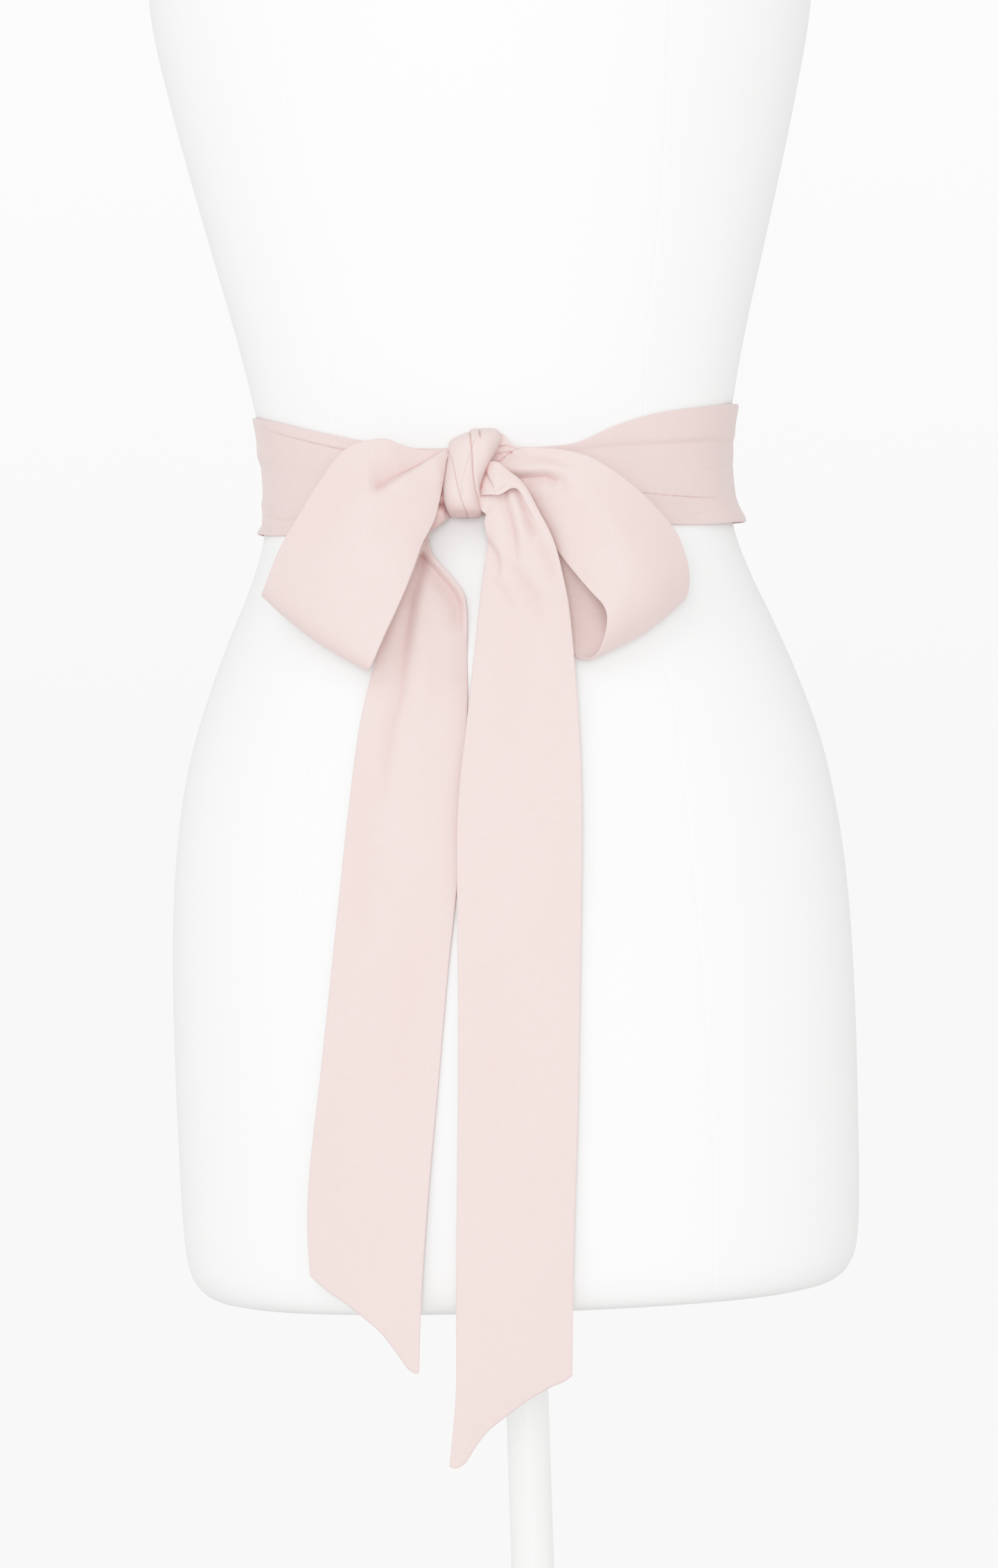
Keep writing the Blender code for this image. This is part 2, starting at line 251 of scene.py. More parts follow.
def add_piece(name, points, faces, material, weave=None, painted_shade=None):
    """A mesh piece from points in millimetres, riding on the only body.

    weave is each point's place in the cloth, painted_shade how much painted shade deepens its
    colour in hollows, folds and between layers."""
    mesh = bpy.data.meshes.new(name)
    mesh.from_pydata((points.reshape(-1, 3) * MM).tolist(), [], faces)
    mesh.validate()
    mesh.materials.append(material)
    mesh.shade_smooth()
    mesh.set_sharp_from_angle(angle=math.radians(SHARP_EDGE))
    if weave is not None:
        kept = mesh.attributes.new("weave", "FLOAT_VECTOR", "POINT")
        kept.data.foreach_set("vector", (weave * MM).astype(np.float32).ravel())
        kept = mesh.attributes.new("painted_shade", "FLOAT", "POINT")
        kept.data.foreach_set("value", painted_shade.astype(np.float32).ravel())
    piece = bpy.data.objects.new(name, mesh)
    bpy.context.scene.collection.objects.link(piece)
    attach(piece, "root")
    return piece


def ring_faces(rows, columns):
    """Faces between closed rings of points, and over the lowest and highest ring."""
    faces = []
    for row in range(rows - 1):
        low, high = row * columns, (row + 1) * columns
        for column in range(columns):
            beside = (column + 1) % columns
            faces.append((low + column, low + beside, high + beside, high + column))
    faces.append(tuple(range(columns - 1, -1, -1)))
    faces.append(tuple(range((rows - 1) * columns, rows * columns)))
    return faces


def shell_finish():
    finish = Finish("matt white shell", (0.87, 0.87, 0.865), 0.62)
    here = finish.node("ShaderNodeTexCoord", output=3)
    cloud = finish.grain(here, 5.0, 3.0, 0.6)
    rubbed = finish.grain(here, 900.0, 0.0)
    brushed = finish.grain(here, 38.0, 2.0, 0.6)
    fine = finish.bump(rubbed, 0.00005)
    return finish.feed(
        Base_Color=finish.mix(cloud, (0.85, 0.852, 0.845), (0.89, 0.89, 0.888)),
        Roughness=0.54 + 0.16 * brushed,
        Normal=finish.bump(brushed, 0.0002, 0.6, fine),
    )


def make_shell():
    """The body's rings: rows close up by the hem, and a column stands on every seam."""
    heights = np.linspace(FORM_SECTIONS[0][0], FORM_SECTIONS[-1][0], FORM_ROWS)
    low_end = FORM_SECTIONS[0][0] + HEM_HEIGHT * np.linspace(0.0, 1.0, HEM_ROWS) ** 2
    heights = np.unique(np.concatenate([low_end, heights[heights > low_end[-1] + 1.0]]))
    half_width = smooth(FORM_SECTIONS, heights)[:, 0]
    seam_x = smooth(PRINCESS_SEAMS, heights)
    power = FORM_SQUARENESS / 2.0

    def seam_angle(column):
        share = np.clip(np.abs(seam_x[:, column]) / half_width, 0.0, 0.97)
        return np.arcsin(share**power)

    quarter = np.full_like(heights, math.pi / 2)
    seams = [
        seam_angle(1),
        quarter,
        math.pi - seam_angle(2),
        quarter * 2,
        math.pi + seam_angle(2),
        quarter * 3,
        2 * math.pi - seam_angle(0),
        2 * math.pi + seam_angle(1),
    ]
    share = np.arange(PANEL_COLUMNS) / PANEL_COLUMNS
    share = share - SEAM_CROWDING * np.sin(2 * math.pi * share)
    angles, nearness = [], []
    for start, end in zip(seams, seams[1:]):
        angles.append(start[:, None] + (end - start)[:, None] * share)
        nearness.append(np.minimum(share, 1.0 - share)[None, :] * (end - start)[:, None])
    angles, nearness = np.hstack(angles), np.hstack(nearness)
    tall = np.repeat(heights[:, None], angles.shape[1], axis=1)
    points = form_point(angles, tall)
    radius = np.hypot(points[..., 0], points[..., 1])
    seam = np.exp(-((nearness * radius / SEAM_WIDTH) ** 2))
    edge = np.roll(points, -1, axis=1) - np.roll(points, 1, axis=1)
    outward = np.cross(edge, np.array([0.0, 0.0, 1.0]))
    outward /= np.linalg.norm(outward, axis=-1, keepdims=True)
    return points - outward * (seam * SEAM_DEPTH)[..., None]


shell_white = shell_finish()
shell_points = make_shell()
shell = add_piece(
    "form_shell", shell_points, ring_faces(*shell_points.shape[:2]), shell_white
)
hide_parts("form_body")
coat("form_neck_cap", shell_white)


# The band: the stretch of the sash that goes once round the waist. It is blush
# crepe-backed satin, doubled and turned through, worn with the dull side out. Its
# own pull holds it, and it gathers from 60 mm at the sides to half that at the knot.
BLUSH = (0.665, 0.488, 0.462)
# painted shade: the deeper pink that the cloth's colour runs to in its hollows and folds and
# between its layers
PAINTED_SHADE_BLUSH = (0.46, 0.215, 0.205)
BAND_EDGES = (
    # degrees round from the front towards +X, height of the top edge, of the bottom edge
    (-9.8, 13.5, -20.5),
    (16.0, 14.0, -21.0),
    (28.0, 23.0, -24.5),
    (40.0, 29.0, -26.5),
    (60.0, 33.5, -26.5),
    (90.0, 37.5, -24.0),
    (135.0, 37.0, -23.0),
    (180.0, 34.5, -25.5),
    (225.0, 37.5, -23.0),
    (270.0, 38.5, -22.0),
    (297.0, 33.0, -24.5),
    (320.0, 23.5, -26.0),
    (338.0, 15.5, -23.5),
    (351.0, 13.5, -20.5),
)
BAND_THICKNESS = 1.6
BAND_WIDTH = 60.0
# how far the cloth's middle stands off the form by its edges, how much further half way
# up, and the least that leaves its inner face clear of the form
BAND_OUT = 1.5
BAND_BULGE = 1.3
BAND_LEAST_OUT = 1.1
BAND_COLUMNS = 420
BAND_ROWS = 96
# how much closer together its columns stand at the front than at the back
FRONT_CROWDING = 0.055
# one degree round the waist is about this many millimetres of cloth
ARC = 1.9
# where each soft fold runs, as degrees and height, its depth, and how far it reaches
# above and below; a depth below zero stands out
BAND_FOLDS = (
    (((112, -23), (92, -24), (74, -23), (58, -21)), -4.6, 6.0, 9.0),
    (((112, 36), (92, 37), (74, 35)), -1.0, 7.0, 7.0),
    (((254, -22), (270, -23), (286, -22)), -2.4, 4.5, 9.0),
    (((250, 8), (270, 6), (290, 4)), 1.7, 24.0, 22.0),
    (((262, -13), (285, -15), (300, -18), (322, -16)), 1.1, 2.0, 6.0),
    (((262, 6), (285, 5), (318, 3)), 1.0, 7.0, 9.0),
    (((264, 20), (276, 19), (290, 16)), -1.0, 5.0, 5.0),
    (((266, -5), (280, -6), (296, -6)), -0.8, 4.0, 4.0),
    (((12, 9), (25, 12.2), (45, 14), (70, 17), (95, 19)), 1.3, 2.0, 7.0),
    (((16, 1), (40, 3), (75, 5), (110, 4)), 0.9, 7.0, 7.0),
    (((35, -18), (60, -20), (88, -18)), 0.6, 3.0, 4.0),
    (((100, 14), (150, 10), (200, 12), (250, 16)), 1.5, 2.0, 7.0),
    (((120, -8), (165, -4), (215, -7), (262, -10)), 1.4, 6.0, 2.0),
    (((95, 28), (130, 26), (185, 22), (235, 27)), 0.9, 3.0, 5.0),
)
# where one layer laps over the next, with its rise, its reach and the line's own depth
BAND_LAPS = (
    (((284, 33.5), (294, 29), (304.6, 24.6), (315.8, 19.4), (324, 15.6), (338, 10)), 1.2, 5.0, 1.1),
    (((66, -13.4), (54, -13.4), (42.5, -12.6), (30, -10.6)), 1.5, 4.0, 1.7),
    (((112, 6), (84, 4.5), (60, 1.5)), 0.4, 5.0, 0.3),
    (((128, 0), (170, 4), (214, 1), (238, -3)), 0.9, 4.0, 0.8),
)
# how soft the step of these laps is, and the share of it at their start and end
BAND_LAP_STEP = (0.3, 0.15, 0.8)
# away from the knot both edges of the band waver by this much
TOP_WAVER = 0.35
BOTTOM_WAVER = 0.45


def crepe_finish():
    name = "blush crepe-backed satin"
    finish = Finish(name, BLUSH, 0.78, Sheen_Weight=0.25, Sheen_Roughness=0.45)
    # the weave is in metres: pebbles under a millimetre across, slubs and threads drawn
    # out along the cloth, and a slow cloud of shade over them
    cloth = finish.node("ShaderNodeAttribute", {"attribute_name": "weave"}, output=1)
    drawn = finish.node("ShaderNodeMapping", None, {"Vector": cloth, "Scale": (1.0, 1.7, 1.0)})
    pebble = finish.node("ShaderNodeTexVoronoi", None, {"Vector": drawn, "Scale": 1250.0})
    slub = finish.grain(drawn, 1400.0, 1.0, 0.6)
    cross = finish.node("ShaderNodeMapping", None, {"Vector": cloth, "Scale": (1.0, 0.12, 1.0)})
    threads = finish.grain(cross, 1500.0, 0.0)
    cloud = finish.grain(cloth, 32.0, 3.0, 0.55)
    height = pebble * 0.5 + slub * 0.7 + threads * 0.25
    mottle = 0.72 * slub + 0.28 * threads + 0.18 * cloud
    deep = tuple(part * shade for part, shade in zip(BLUSH, (0.93, 0.87, 0.86)))
    pale = tuple(min(part * shade, 0.95) for part, shade in zip(BLUSH, (1.05, 1.11, 1.12)))
    # painted shade: the colour runs to a deeper, darker pink where the cloth lies in a hollow, a
    # fold or close under another layer
    painted_shade = finish.node("ShaderNodeAttribute", {"attribute_name": "painted_shade"}, output=2)
    return finish.feed(
        Base_Color=finish.mix(painted_shade, finish.mix(mottle, deep, pale), PAINTED_SHADE_BLUSH),
        Roughness=0.70 + 0.14 * slub,
        Normal=finish.bump(height, 0.00016, 0.8),
    )


def near_line(x, up, line):
    """How far each place is from a drawn line, on which side, and how far along it."""
    line = np.array(line, float)
    lengths = np.linalg.norm(np.diff(line, axis=0), axis=1)
    walked = np.concatenate([[0.0], np.cumsum(lengths)]) / lengths.sum()
    best = np.full(np.shape(x), 1e9)
    side, along = np.zeros(np.shape(x)), np.zeros(np.shape(x))
    for index, (start, end) in enumerate(zip(line, line[1:])):
        step = end - start
        share = ((x - start[0]) * step[0] + (up - start[1]) * step[1]) / (step @ step)
        share = np.clip(share, 0.0, 1.0)
        off_x, off_up = x - start[0] - share * step[0], up - start[1] - share * step[1]
        distance = np.hypot(off_x, off_up)
        closer = distance < best
        best = np.where(closer, distance, best)
        side = np.where(closer, np.sign(step[0] * off_up - step[1] * off_x), side)
        here = walked[index] + share * (walked[index + 1] - walked[index])
        along = np.where(closer, here, along)
    return best, side, along


def fold(x, up, line, depth, left, right, start=0.3, end=0.3):
    """A trough along a drawn line, with its own reach to the left and right of it.

    start and end say how much of the depth is there at the line's two ends."""
    distance, side, along = near_line(x, up, line)
    reach = np.where(side > 0, left, right)
    full = np.sin(math.pi * along) ** 0.7
    ends = start * (1.0 - along) + end * along
    return -depth * (ends + (1.0 - ends) * full) * np.exp(-((distance / reach) ** 2))


def soft_step(value):
    """From 0 well below zero to 1 well above it."""
    return 1.0 / (1.0 + np.exp(-np.clip(value, -40.0, 40.0)))


def lip(x, up, line, rise, reach, crack, edge, start=1.0, end=1.0):
    """An edge that laps over its neighbour: it stands up on the left of a drawn line.

    crack is how deep the line itself cuts in, edge how soft the step is, and start and
    end the share of both at the line's two ends."""
    distance, side, along = near_line(x, up, line)
    strength = start * (1.0 - along) + end * along
    within = side * distance
    raised = rise * np.exp(-np.maximum(within, 0.0) / reach) * soft_step(within / edge)
    return strength * (raised - crack * np.exp(-(((within + edge) / (1.8 * edge)) ** 2)))


# how far in from its edge the cloth starts to round off, and what is left of it at the
# very edge, both as shares of its thickness
EDGE_ROLL = 0.55
EDGE_LEFT = 0.15
# millimetres in from an edge of its extra columns, and of the first of the even ones
EDGE_COLUMNS = (0.0, 0.1, 0.28, 0.6)
FIRST_EVEN = 1.1
# how many radians a millimetre the surface closes in before painted shade darkens its colour, how
# fast that grows, and the most of it; then what a millimetre of fold adds to the painted shade
HOLLOW_FROM = 0.10
HOLLOW_GAIN = 0.5
HOLLOW_MOST = 0.8
FOLD_PAINTED_SHADE = 0.07
# the weave of the back ply lies this far off that of the front one
BACK_PLY = 7.0


def hollow_shade(sheet, outward):
    """The painted shade of a surface's creases: how tightly it closes in on itself, from 0 where it
    is flat or stands out.
    """
    closing = np.zeros(sheet.shape[:2])
    for axis in (0, 1):
        step = np.gradient(sheet, axis=axis)
        turn = np.gradient(outward, axis=axis)
        length = np.maximum(np.sum(step * step, axis=-1), 0.02)
        closing -= np.sum(turn * step, axis=-1) / length
    return np.clip((closing - HOLLOW_FROM) * HOLLOW_GAIN, 0.0, HOLLOW_MOST)


def cloth_wall(sheet, thickness, relief=0.0):
    """A doubled cloth with soft rolled edges: points, faces, weave places and the painted shade of
    its hollows.

    relief is what its folds have moved it by, so that a wide hollow gets its painted shade too."""
    rows, columns = sheet.shape[:2]
    across = np.linalg.norm(np.diff(sheet, axis=1), axis=2)
    along = np.linalg.norm(np.diff(sheet, axis=0), axis=2)
    from_left = np.hstack([np.zeros((rows, 1)), np.cumsum(across, axis=1)])
    from_start = np.vstack([np.zeros((1, columns)), np.cumsum(along, axis=0)])
    near = np.minimum.reduce(
        [from_left, from_left[:, -1:] - from_left, from_start, from_start[-1:] - from_start]
    )
    full = 1.0 - np.clip(near / (thickness * EDGE_ROLL), 0.0, 1.0)
    offset = thickness / 2 * (EDGE_LEFT + (1.0 - EDGE_LEFT) * np.sqrt(1.0 - full**2))
    facing = normals(sheet)
    outward = facing * offset[..., None]
    # painted shade on each face, where it closes in and where its folds press it in
    front = hollow_shade(sheet, facing) + FOLD_PAINTED_SHADE * np.maximum(-relief, 0.0)
    back = hollow_shade(sheet, -facing) + FOLD_PAINTED_SHADE * np.maximum(relief, 0.0)
    painted_shade = np.concatenate([front.ravel(), back.ravel()])
    places = np.stack([from_start, from_left, np.zeros_like(from_left)], axis=-1)
    points = np.concatenate([(sheet + outward).reshape(-1, 3), (sheet - outward).reshape(-1, 3)])
    places = places.reshape(-1, 3)
    weave = np.concatenate([places, places + (0.0, 0.0, BACK_PLY)])
    size = rows * columns
    corner = (np.arange(rows - 1)[:, None] * columns + np.arange(columns - 1)).ravel()
    front = np.stack([corner, corner + columns, corner + columns + 1, corner + 1], axis=1)
    faces = front.tolist() + (front[:, ::-1] + size).tolist()
    rim = list(range(columns))
    rim += [row * columns + columns - 1 for row in range(1, rows)]
    rim += list(range(size - 2, size - columns - 1, -1))
    rim += [row * columns for row in range(rows - 2, 0, -1)]
    for place, start in enumerate(rim):
        end = rim[(place + 1) % len(rim)]
        faces.append((start, end, size + end, size + start))
    return points, faces, weave, painted_shade


def edge_places(count, width):
    """Shares of the way across, close together by both edges so that they can roll."""
    edge = np.array(EDGE_COLUMNS) / width
    inner = FIRST_EVEN / width
    middle = np.linspace(inner, 1.0 - inner, count)
    return np.concatenate([edge, middle, 1.0 - edge[::-1]])


def make_band_sheet():
    share = np.linspace(0.0, 1.0, BAND_COLUMNS)
    share = share - FRONT_CROWDING * np.sin(2.0 * math.pi * share)
    degrees = BAND_EDGES[0][0] + (BAND_EDGES[-1][0] - BAND_EDGES[0][0]) * share
    shares = edge_places(BAND_ROWS, BAND_WIDTH)
    edges = smooth(BAND_EDGES, degrees)
    around = np.radians(degrees)
    away = np.sin(around / 2) ** 2
    top = edges[:, 0] + TOP_WAVER * np.sin(around * 9.0 + 1.0) * away
    bottom = edges[:, 1] + BOTTOM_WAVER * np.sin(around * 7.0) * away
    height = bottom[:, None] + (top - bottom)[:, None] * shares
    turn = np.repeat(degrees[:, None], len(shares), axis=1)
    surface = form_point(np.radians(turn), height)
    outward = normals(surface)
    stand = BAND_OUT + BAND_BULGE * np.sin(math.pi * shares)[None, :] * np.ones_like(turn)
    across = turn * ARC
    for line, depth, above, below in BAND_FOLDS:
        drawn = [(place * ARC, up) for place, up in line]
        stand = stand + fold(across, height, drawn, depth, above, below)
    for line, rise, reach, crack in BAND_LAPS:
        drawn = [(place * ARC, up) for place, up in line]
        stand = stand + lip(across, height, drawn, rise, reach, crack, *BAND_LAP_STEP)
    return surface + outward * np.maximum(stand, BAND_LEAST_OUT)[..., None]


crepe = crepe_finish()
# every cloth piece with its grid and which ways that faces, for the painted shade between layers
crepe_grids = []


def add_cloth(name, sheet, thickness, relief=0.0):
    """A piece of the sash from its middle surface."""
    points, faces, weave, painted_shade = cloth_wall(sheet, thickness, relief)
    piece = add_piece(name, points, faces, crepe, weave, painted_shade)
    crepe_grids.append((piece, sheet, (normals(sheet), -normals(sheet))))
    return piece


band = add_cloth("sash_round_waist", make_band_sheet(), BAND_THICKNESS)
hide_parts("sash_band")


# The knot: one turn of the same cloth over the crossing, pulled tight enough that its
# layers lap in long slanting pleats. Nothing is sewn; friction holds it, and behind
# it the ends of the band and the roots of the bow come together.
KNOT_SECTIONS = (
    # height above the waist, left side, right side, out at the back, out at the front
    (21.2, -10.5, -0.8, 107.0, 116.0),
    (20.0, -12.8, 1.4, 103.0, 121.0),
    (18.0, -18.0, 2.1, 100.5, 124.0),
    (15.6, -22.0, 2.2, 99.5, 125.6),
    (12.6, -23.0, 1.0, 99.0, 126.5),
    (8.0, -24.0, -1.2, 98.5, 127.0),
    (1.0, -25.2, -5.2, 98.0, 127.5),
    (-7.0, -26.4, -8.0, 98.0, 127.5),
    (-13.6, -26.2, -8.6, 98.5, 126.0),
    (-18.0, -25.0, -7.8, 100.0, 123.5),
    (-20.8, -23.2, -8.0, 103.0, 119.0),
    (-22.0, -19.6, -10.0, 107.0, 114.5),
)
KNOT_SQUARENESS = 2.5
KNOT_COLUMNS = 280
KNOT_ROWS = 170
# how far its cloth goes round, how far its weave lies off the band's, and how far its
# face stands off the sections
KNOT_GIRTH = 84.0
KNOT_PLY = 20.0
KNOT_OUT = 0.2
# how soft the step of its laps is, how quickly its face, its back and its sides fade
# into one another, and how high the ridges down its sides stand
KNOT_LAP_EDGE = 0.21
KNOT_FACE = 0.45
KNOT_REAR = 0.3
KNOT_SIDE = 0.5
KNOT_RIDGE = 0.35
# the painted shade at its lower end, which turns away from the light: how much, where it starts and
# how soon it is full
KNOT_PAINTED_SHADE = 0.4
KNOT_PAINTED_SHADE_TOP = -13.0
KNOT_PAINTED_SHADE_FADE = 9.0
# lapped edges down the front, as x and up, with rise, reach and the line's own depth
KNOT_LAPS = (
    (((-24.0, 14.0), (-21.6, 6.4), (-19.9, -4.0), (-17.6, -13.5), (-14.2, -22.6)), 0.5, 4.0, 0.32),
    (
        ((-12.6, 20.4), (-12.1, 17.0), (-11.6, 9.7), (-11.4, 0.9), (-10.4, -8.5), (-8.6, -17.0)),
        0.8,
        3.0,
        0.62,
    ),
)
# soft hollows there, with their depth and their reach to the left and the right
KNOT_HOLLOWS = (
    (((-7.9, 22.0), (-7.8, 19.0), (-7.4, 16.0)), 0.8, 0.55, 0.7),
    (((-12.4, 20.0), (-11.7, 8.0), (-10.6, -8.0)), 0.6, 2.0, 2.0),
    (((-3.6, 18.0), (-4.6, 8.0), (-8.2, -4.0)), -0.7, 2.6, 2.6),
    (((-22.4, 8.0), (-20.2, -4.0), (-17.0, -16.0)), 0.4, 2.0, 2.0),
    (((-20.5, 6.0), (-18.0, -6.0), (-14.5, -17.0)), 0.5, 2.6, 1.2),
    (((-23.0, -19.6), (-16.0, -20.8), (-9.0, -20.6)), 0.5, 1.4, 1.8),
)
KNOT_BACK_HOLLOWS = (
    (((-20, 14), (-15, -18)), 0.8, 2.0, 3.0),
    (((-8, 16), (-12, -16)), 0.6, 3.0, 1.5),
)


def close_rings(points):
    """The rings with one more column at each end, so that slopes run on round them."""
    return np.concatenate([points[:, -1:], points, points[:, :1]], axis=1)


def make_knot():
    """The knot's rings of points, with its faces, its weave and its painted shade."""
    # the sections' own ends are blunt; the rows close up on them to round the cloth off
    turn = np.linspace(0.0, math.pi, KNOT_ROWS)
    top, bottom = KNOT_SECTIONS[0][0], KNOT_SECTIONS[-1][0]
    heights = (top + bottom) / 2 - (top - bottom) / 2 * np.cos(turn)
    sizes = smooth(KNOT_SECTIONS[::-1], heights)
    left, right, back, front = (sizes[:, [column]] for column in range(4))
    angle = 2 * math.pi * np.arange(KNOT_COLUMNS) / KNOT_COLUMNS
    power = 2.0 / KNOT_SQUARENESS
    across = np.sign(np.sin(angle)) * np.abs(np.sin(angle)) ** power
    forward = np.sign(np.cos(angle)) * np.abs(np.cos(angle)) ** power
    x = (left + right) / 2 + across * (right - left) / 2
    y = -(back + front) / 2 - forward * (front - back) / 2
    points = np.stack([x, y, np.repeat(heights[:, None], KNOT_COLUMNS, axis=1)], axis=-1)
    outward = -normals(close_rings(points))[:, 1:-1]
    up = points[..., 2]
    facing = np.clip(forward / KNOT_FACE, 0.0, 1.0)[None, :]
    relief = np.zeros_like(x)
    for line, rise, reach, crack in KNOT_LAPS:
        relief += facing * lip(x, up, line, rise, reach, crack, KNOT_LAP_EDGE)
    for line, depth, near_left, near_right in KNOT_HOLLOWS:
        relief += facing * fold(x, up, line, depth, near_left, near_right)
    hidden = np.clip(-forward / KNOT_REAR, 0.0, 1.0)[None, :]
    for line, depth, near_left, near_right in KNOT_BACK_HOLLOWS:
        relief += hidden * fold(x, up, line, depth, near_left, near_right)
    # down its two sides the layers show as fine ridges
    side = np.clip(1.0 - np.abs(forward) / KNOT_SIDE, 0.0, 1.0)[None, :]
    relief += side * KNOT_RIDGE * np.sin(y * 0.55 + up * 0.12)
    points = points + outward * (relief + KNOT_OUT)[..., None]
    wrapped = close_rings(points)
    painted_shade = hollow_shade(wrapped, -normals(wrapped))[:, 1:-1]
    # painted shade: it is painted darker towards its lower end, which turns away from the light
    painted_shade = painted_shade + KNOT_PAINTED_SHADE * np.clip((KNOT_PAINTED_SHADE_TOP - up) / KNOT_PAINTED_SHADE_FADE, 0.0, 1.0)
    points[..., 2] += WAIST
    around = angle / (2 * math.pi) * KNOT_GIRTH
    weave = np.stack(np.broadcast_arrays(heights[:, None], around[None, :], KNOT_PLY), axis=-1)
    return points, ring_faces(*points.shape[:2]), weave.reshape(-1, 3), painted_shade


def add_closed_cloth(name, points, faces, weave, painted_shade):
    """A piece of the sash from closed rings of points."""
    piece = add_piece(name, points, faces, crepe, weave, painted_shade)
    facing = normals(close_rings(points))[:, 1:-1]
    if np.sum(facing * (points - points.mean(axis=1, keepdims=True))) < 0.0:
        facing = -facing
    crepe_grids.append((piece, points, (facing,)))
    return piece


knot = add_closed_cloth("sash_knot_turn", *make_knot())
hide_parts("sash_knot")


# The left loop: cloth that leaves the knot gathered, opens to its full width, turns
# back on itself without a pressed fold and runs in behind. Where it leaves the knot
# one long dimple is pinched into it, sharp below and soft above.
CLOTH_THICKNESS = 1.3
LOOP_LEFT = (
    # place, x, up and out of the left edge, x, up and out of the right edge, bulge
    (-0.5, -21.0, 12.6, 113.0, -20.6, 7.4, 114.5, 0.1),
    (0, -26.0, 12.6, 117.0, -24.4, 7.0, 118.5, 0.3),
    (0.3, -29.0, 12.4, 118.6, -25.8, -0.8, 119.6, 1.0),
    (0.6, -32.4, 12.1, 120.0, -27.8, -10.6, 120.6, 2.0),
    (1, -38.0, 12.4, 121, -30.8, -21.6, 121.6, 3.0),
    (1.5, -46.0, 14.6, 122, -34.2, -28.6, 123, 4.2),
    (2, -55.0, 17.6, 123, -37.6, -34.6, 124.4, 5.0),
    (3, -73.0, 13.4, 122, -40.8, -43.0, 127, 6.0),
    (4, -86.1, -1.0, 120, -45.3, -54.2, 129, 6.0),
    (5, -98.0, -18.7, 117, -50.6, -65.6, 130, 5.5),
    (6, -107.8, -34.5, 113, -57.6, -79.4, 130, 5.0),
    (7, -115.2, -51.0, 108, -63.6, -92.2, 128, 4.0),
    (8, -117.6, -56.0, 100, -65.8, -95.6, 121, 3.0),
    (9, -115.4, -52.2, 92, -63.8, -92.0, 113, 4.0),
    (10, -106.6, -34.0, 89, -57.4, -78.4, 111, 4.5),
    (11, -95.6, -15.0, 91, -50.0, -63.4, 111, 4.0),
    (12, -81.0, 1.0, 95, -43.6, -50.0, 111, 3.0),
    (13, -60.4, 8.6, 100, -38.4, -36.6, 111, 2.0),
    (14, -40.0, 8.2, 104, -33.4, -23.0, 110.5, 1.0),
    (15, -26.2, 7.0, 107, -28.6, -12.6, 109, 0.5),
    (15.4, -22.0, 7.0, 108, -24.0, -12.0, 109, 0.2),
)
# on the front layer: a drawn line in x and up, depth, reach to its left and right, and
# the share of the depth at its two ends
LEFT_LOOP_FOLDS = (
    (((-27.0, -2.0), (-45.0, -16.0), (-60.0, -38.0)), 0.9, 8.0, 10.0, 0.2, 0.0),
    (((-60.0, 12.0), (-80.0, -8.0), (-98.0, -40.0)), 0.8, 9.0, 12.0, 0.0, 0.2),
    (((-88.0, -44.0), (-76.0, -62.0), (-70.0, -84.0)), -0.7, 9.0, 9.0, 0.0, 0.5),
)
# the pinch: where its sharp lower edge starts by the knot, which way that runs, and how
# far along it the soft wall stands that closes it
PINCH_START = (-24.8, 11.0)
PINCH_WAY = (-0.873, -0.488)
PINCH_LENGTH = 39.4
# how much that edge bows, how blunt it is by the knot and how much more so further on
PINCH_BOW = 0.4
PINCH_BLUNT = (0.24, 1.0)
# how deep the cloth sinks by the knot, how much deeper further on, and how far above
PINCH_DEPTH = (1.6, 4.0)
PINCH_ABOVE = 12.0
# how proud it stands below the edge, and how far below
PINCH_PROUD = 1.2
PINCH_BELOW = 7.0
LEFT_BACK_FOLDS = (
    (((-30.0, 2.0), (-55.0, -8.0), (-85.0, -34.0)), 2.0, 5.0, 9.0, 0.6, 0.0),
    (((-32.0, -8.0), (-50.0, -28.0), (-66.0, -62.0)), 1.6, 6.0, 6.0, 0.7, 0.0),
    (((-70.0, 4.0), (-92.0, -22.0)), 1.0, 6.0, 4.0, 0.0, 0.0),
)
# the places in its table where the folds of the front end and those of the back start
LEFT_FRONT_END = (6.6, 8.0)
LEFT_BACK_START = (8.4, 9.6)
LOOP_WIDTH = 62.0
# from one point of a strip to the next, and how many places measure its length first
LOOP_SPACING = 0.85
RIBBON_PLACES = 1200


def make_ribbon(stations, width, spacing=LOOP_SPACING):
    """A strip's middle points from its table, and the place of each row of them."""
    fine = np.linspace(stations[0][0], stations[-1][0], RIBBON_PLACES)
    edges = smooth(stations, fine)
    steps = np.linalg.norm(np.diff((edges[:, 0:3] + edges[:, 3:6]) / 2, axis=0), axis=1)
    walked = np.concatenate([[0.0], np.cumsum(steps)])
    count = int(walked[-1] / spacing)
    places = np.interp(np.linspace(0.0, walked[-1], count), walked, fine)
    edges = smooth(stations, places)
    first = np.stack([edges[:, 0], -edges[:, 2], WAIST + edges[:, 1]], axis=1)
    second = np.stack([edges[:, 3], -edges[:, 5], WAIST + edges[:, 4]], axis=1)
    shares = edge_places(int(width / spacing), width)
    sheet = first[:, None] + (second - first)[:, None] * shares[:, None]
    along = np.gradient(first + second, axis=0)
    outward = np.cross(along, second - first)
    outward /= np.linalg.norm(outward, axis=1, keepdims=True)
    bulge = edges[:, 6:7] * np.sin(math.pi * shares)
    return sheet + outward[:, None] * bulge[..., None], places


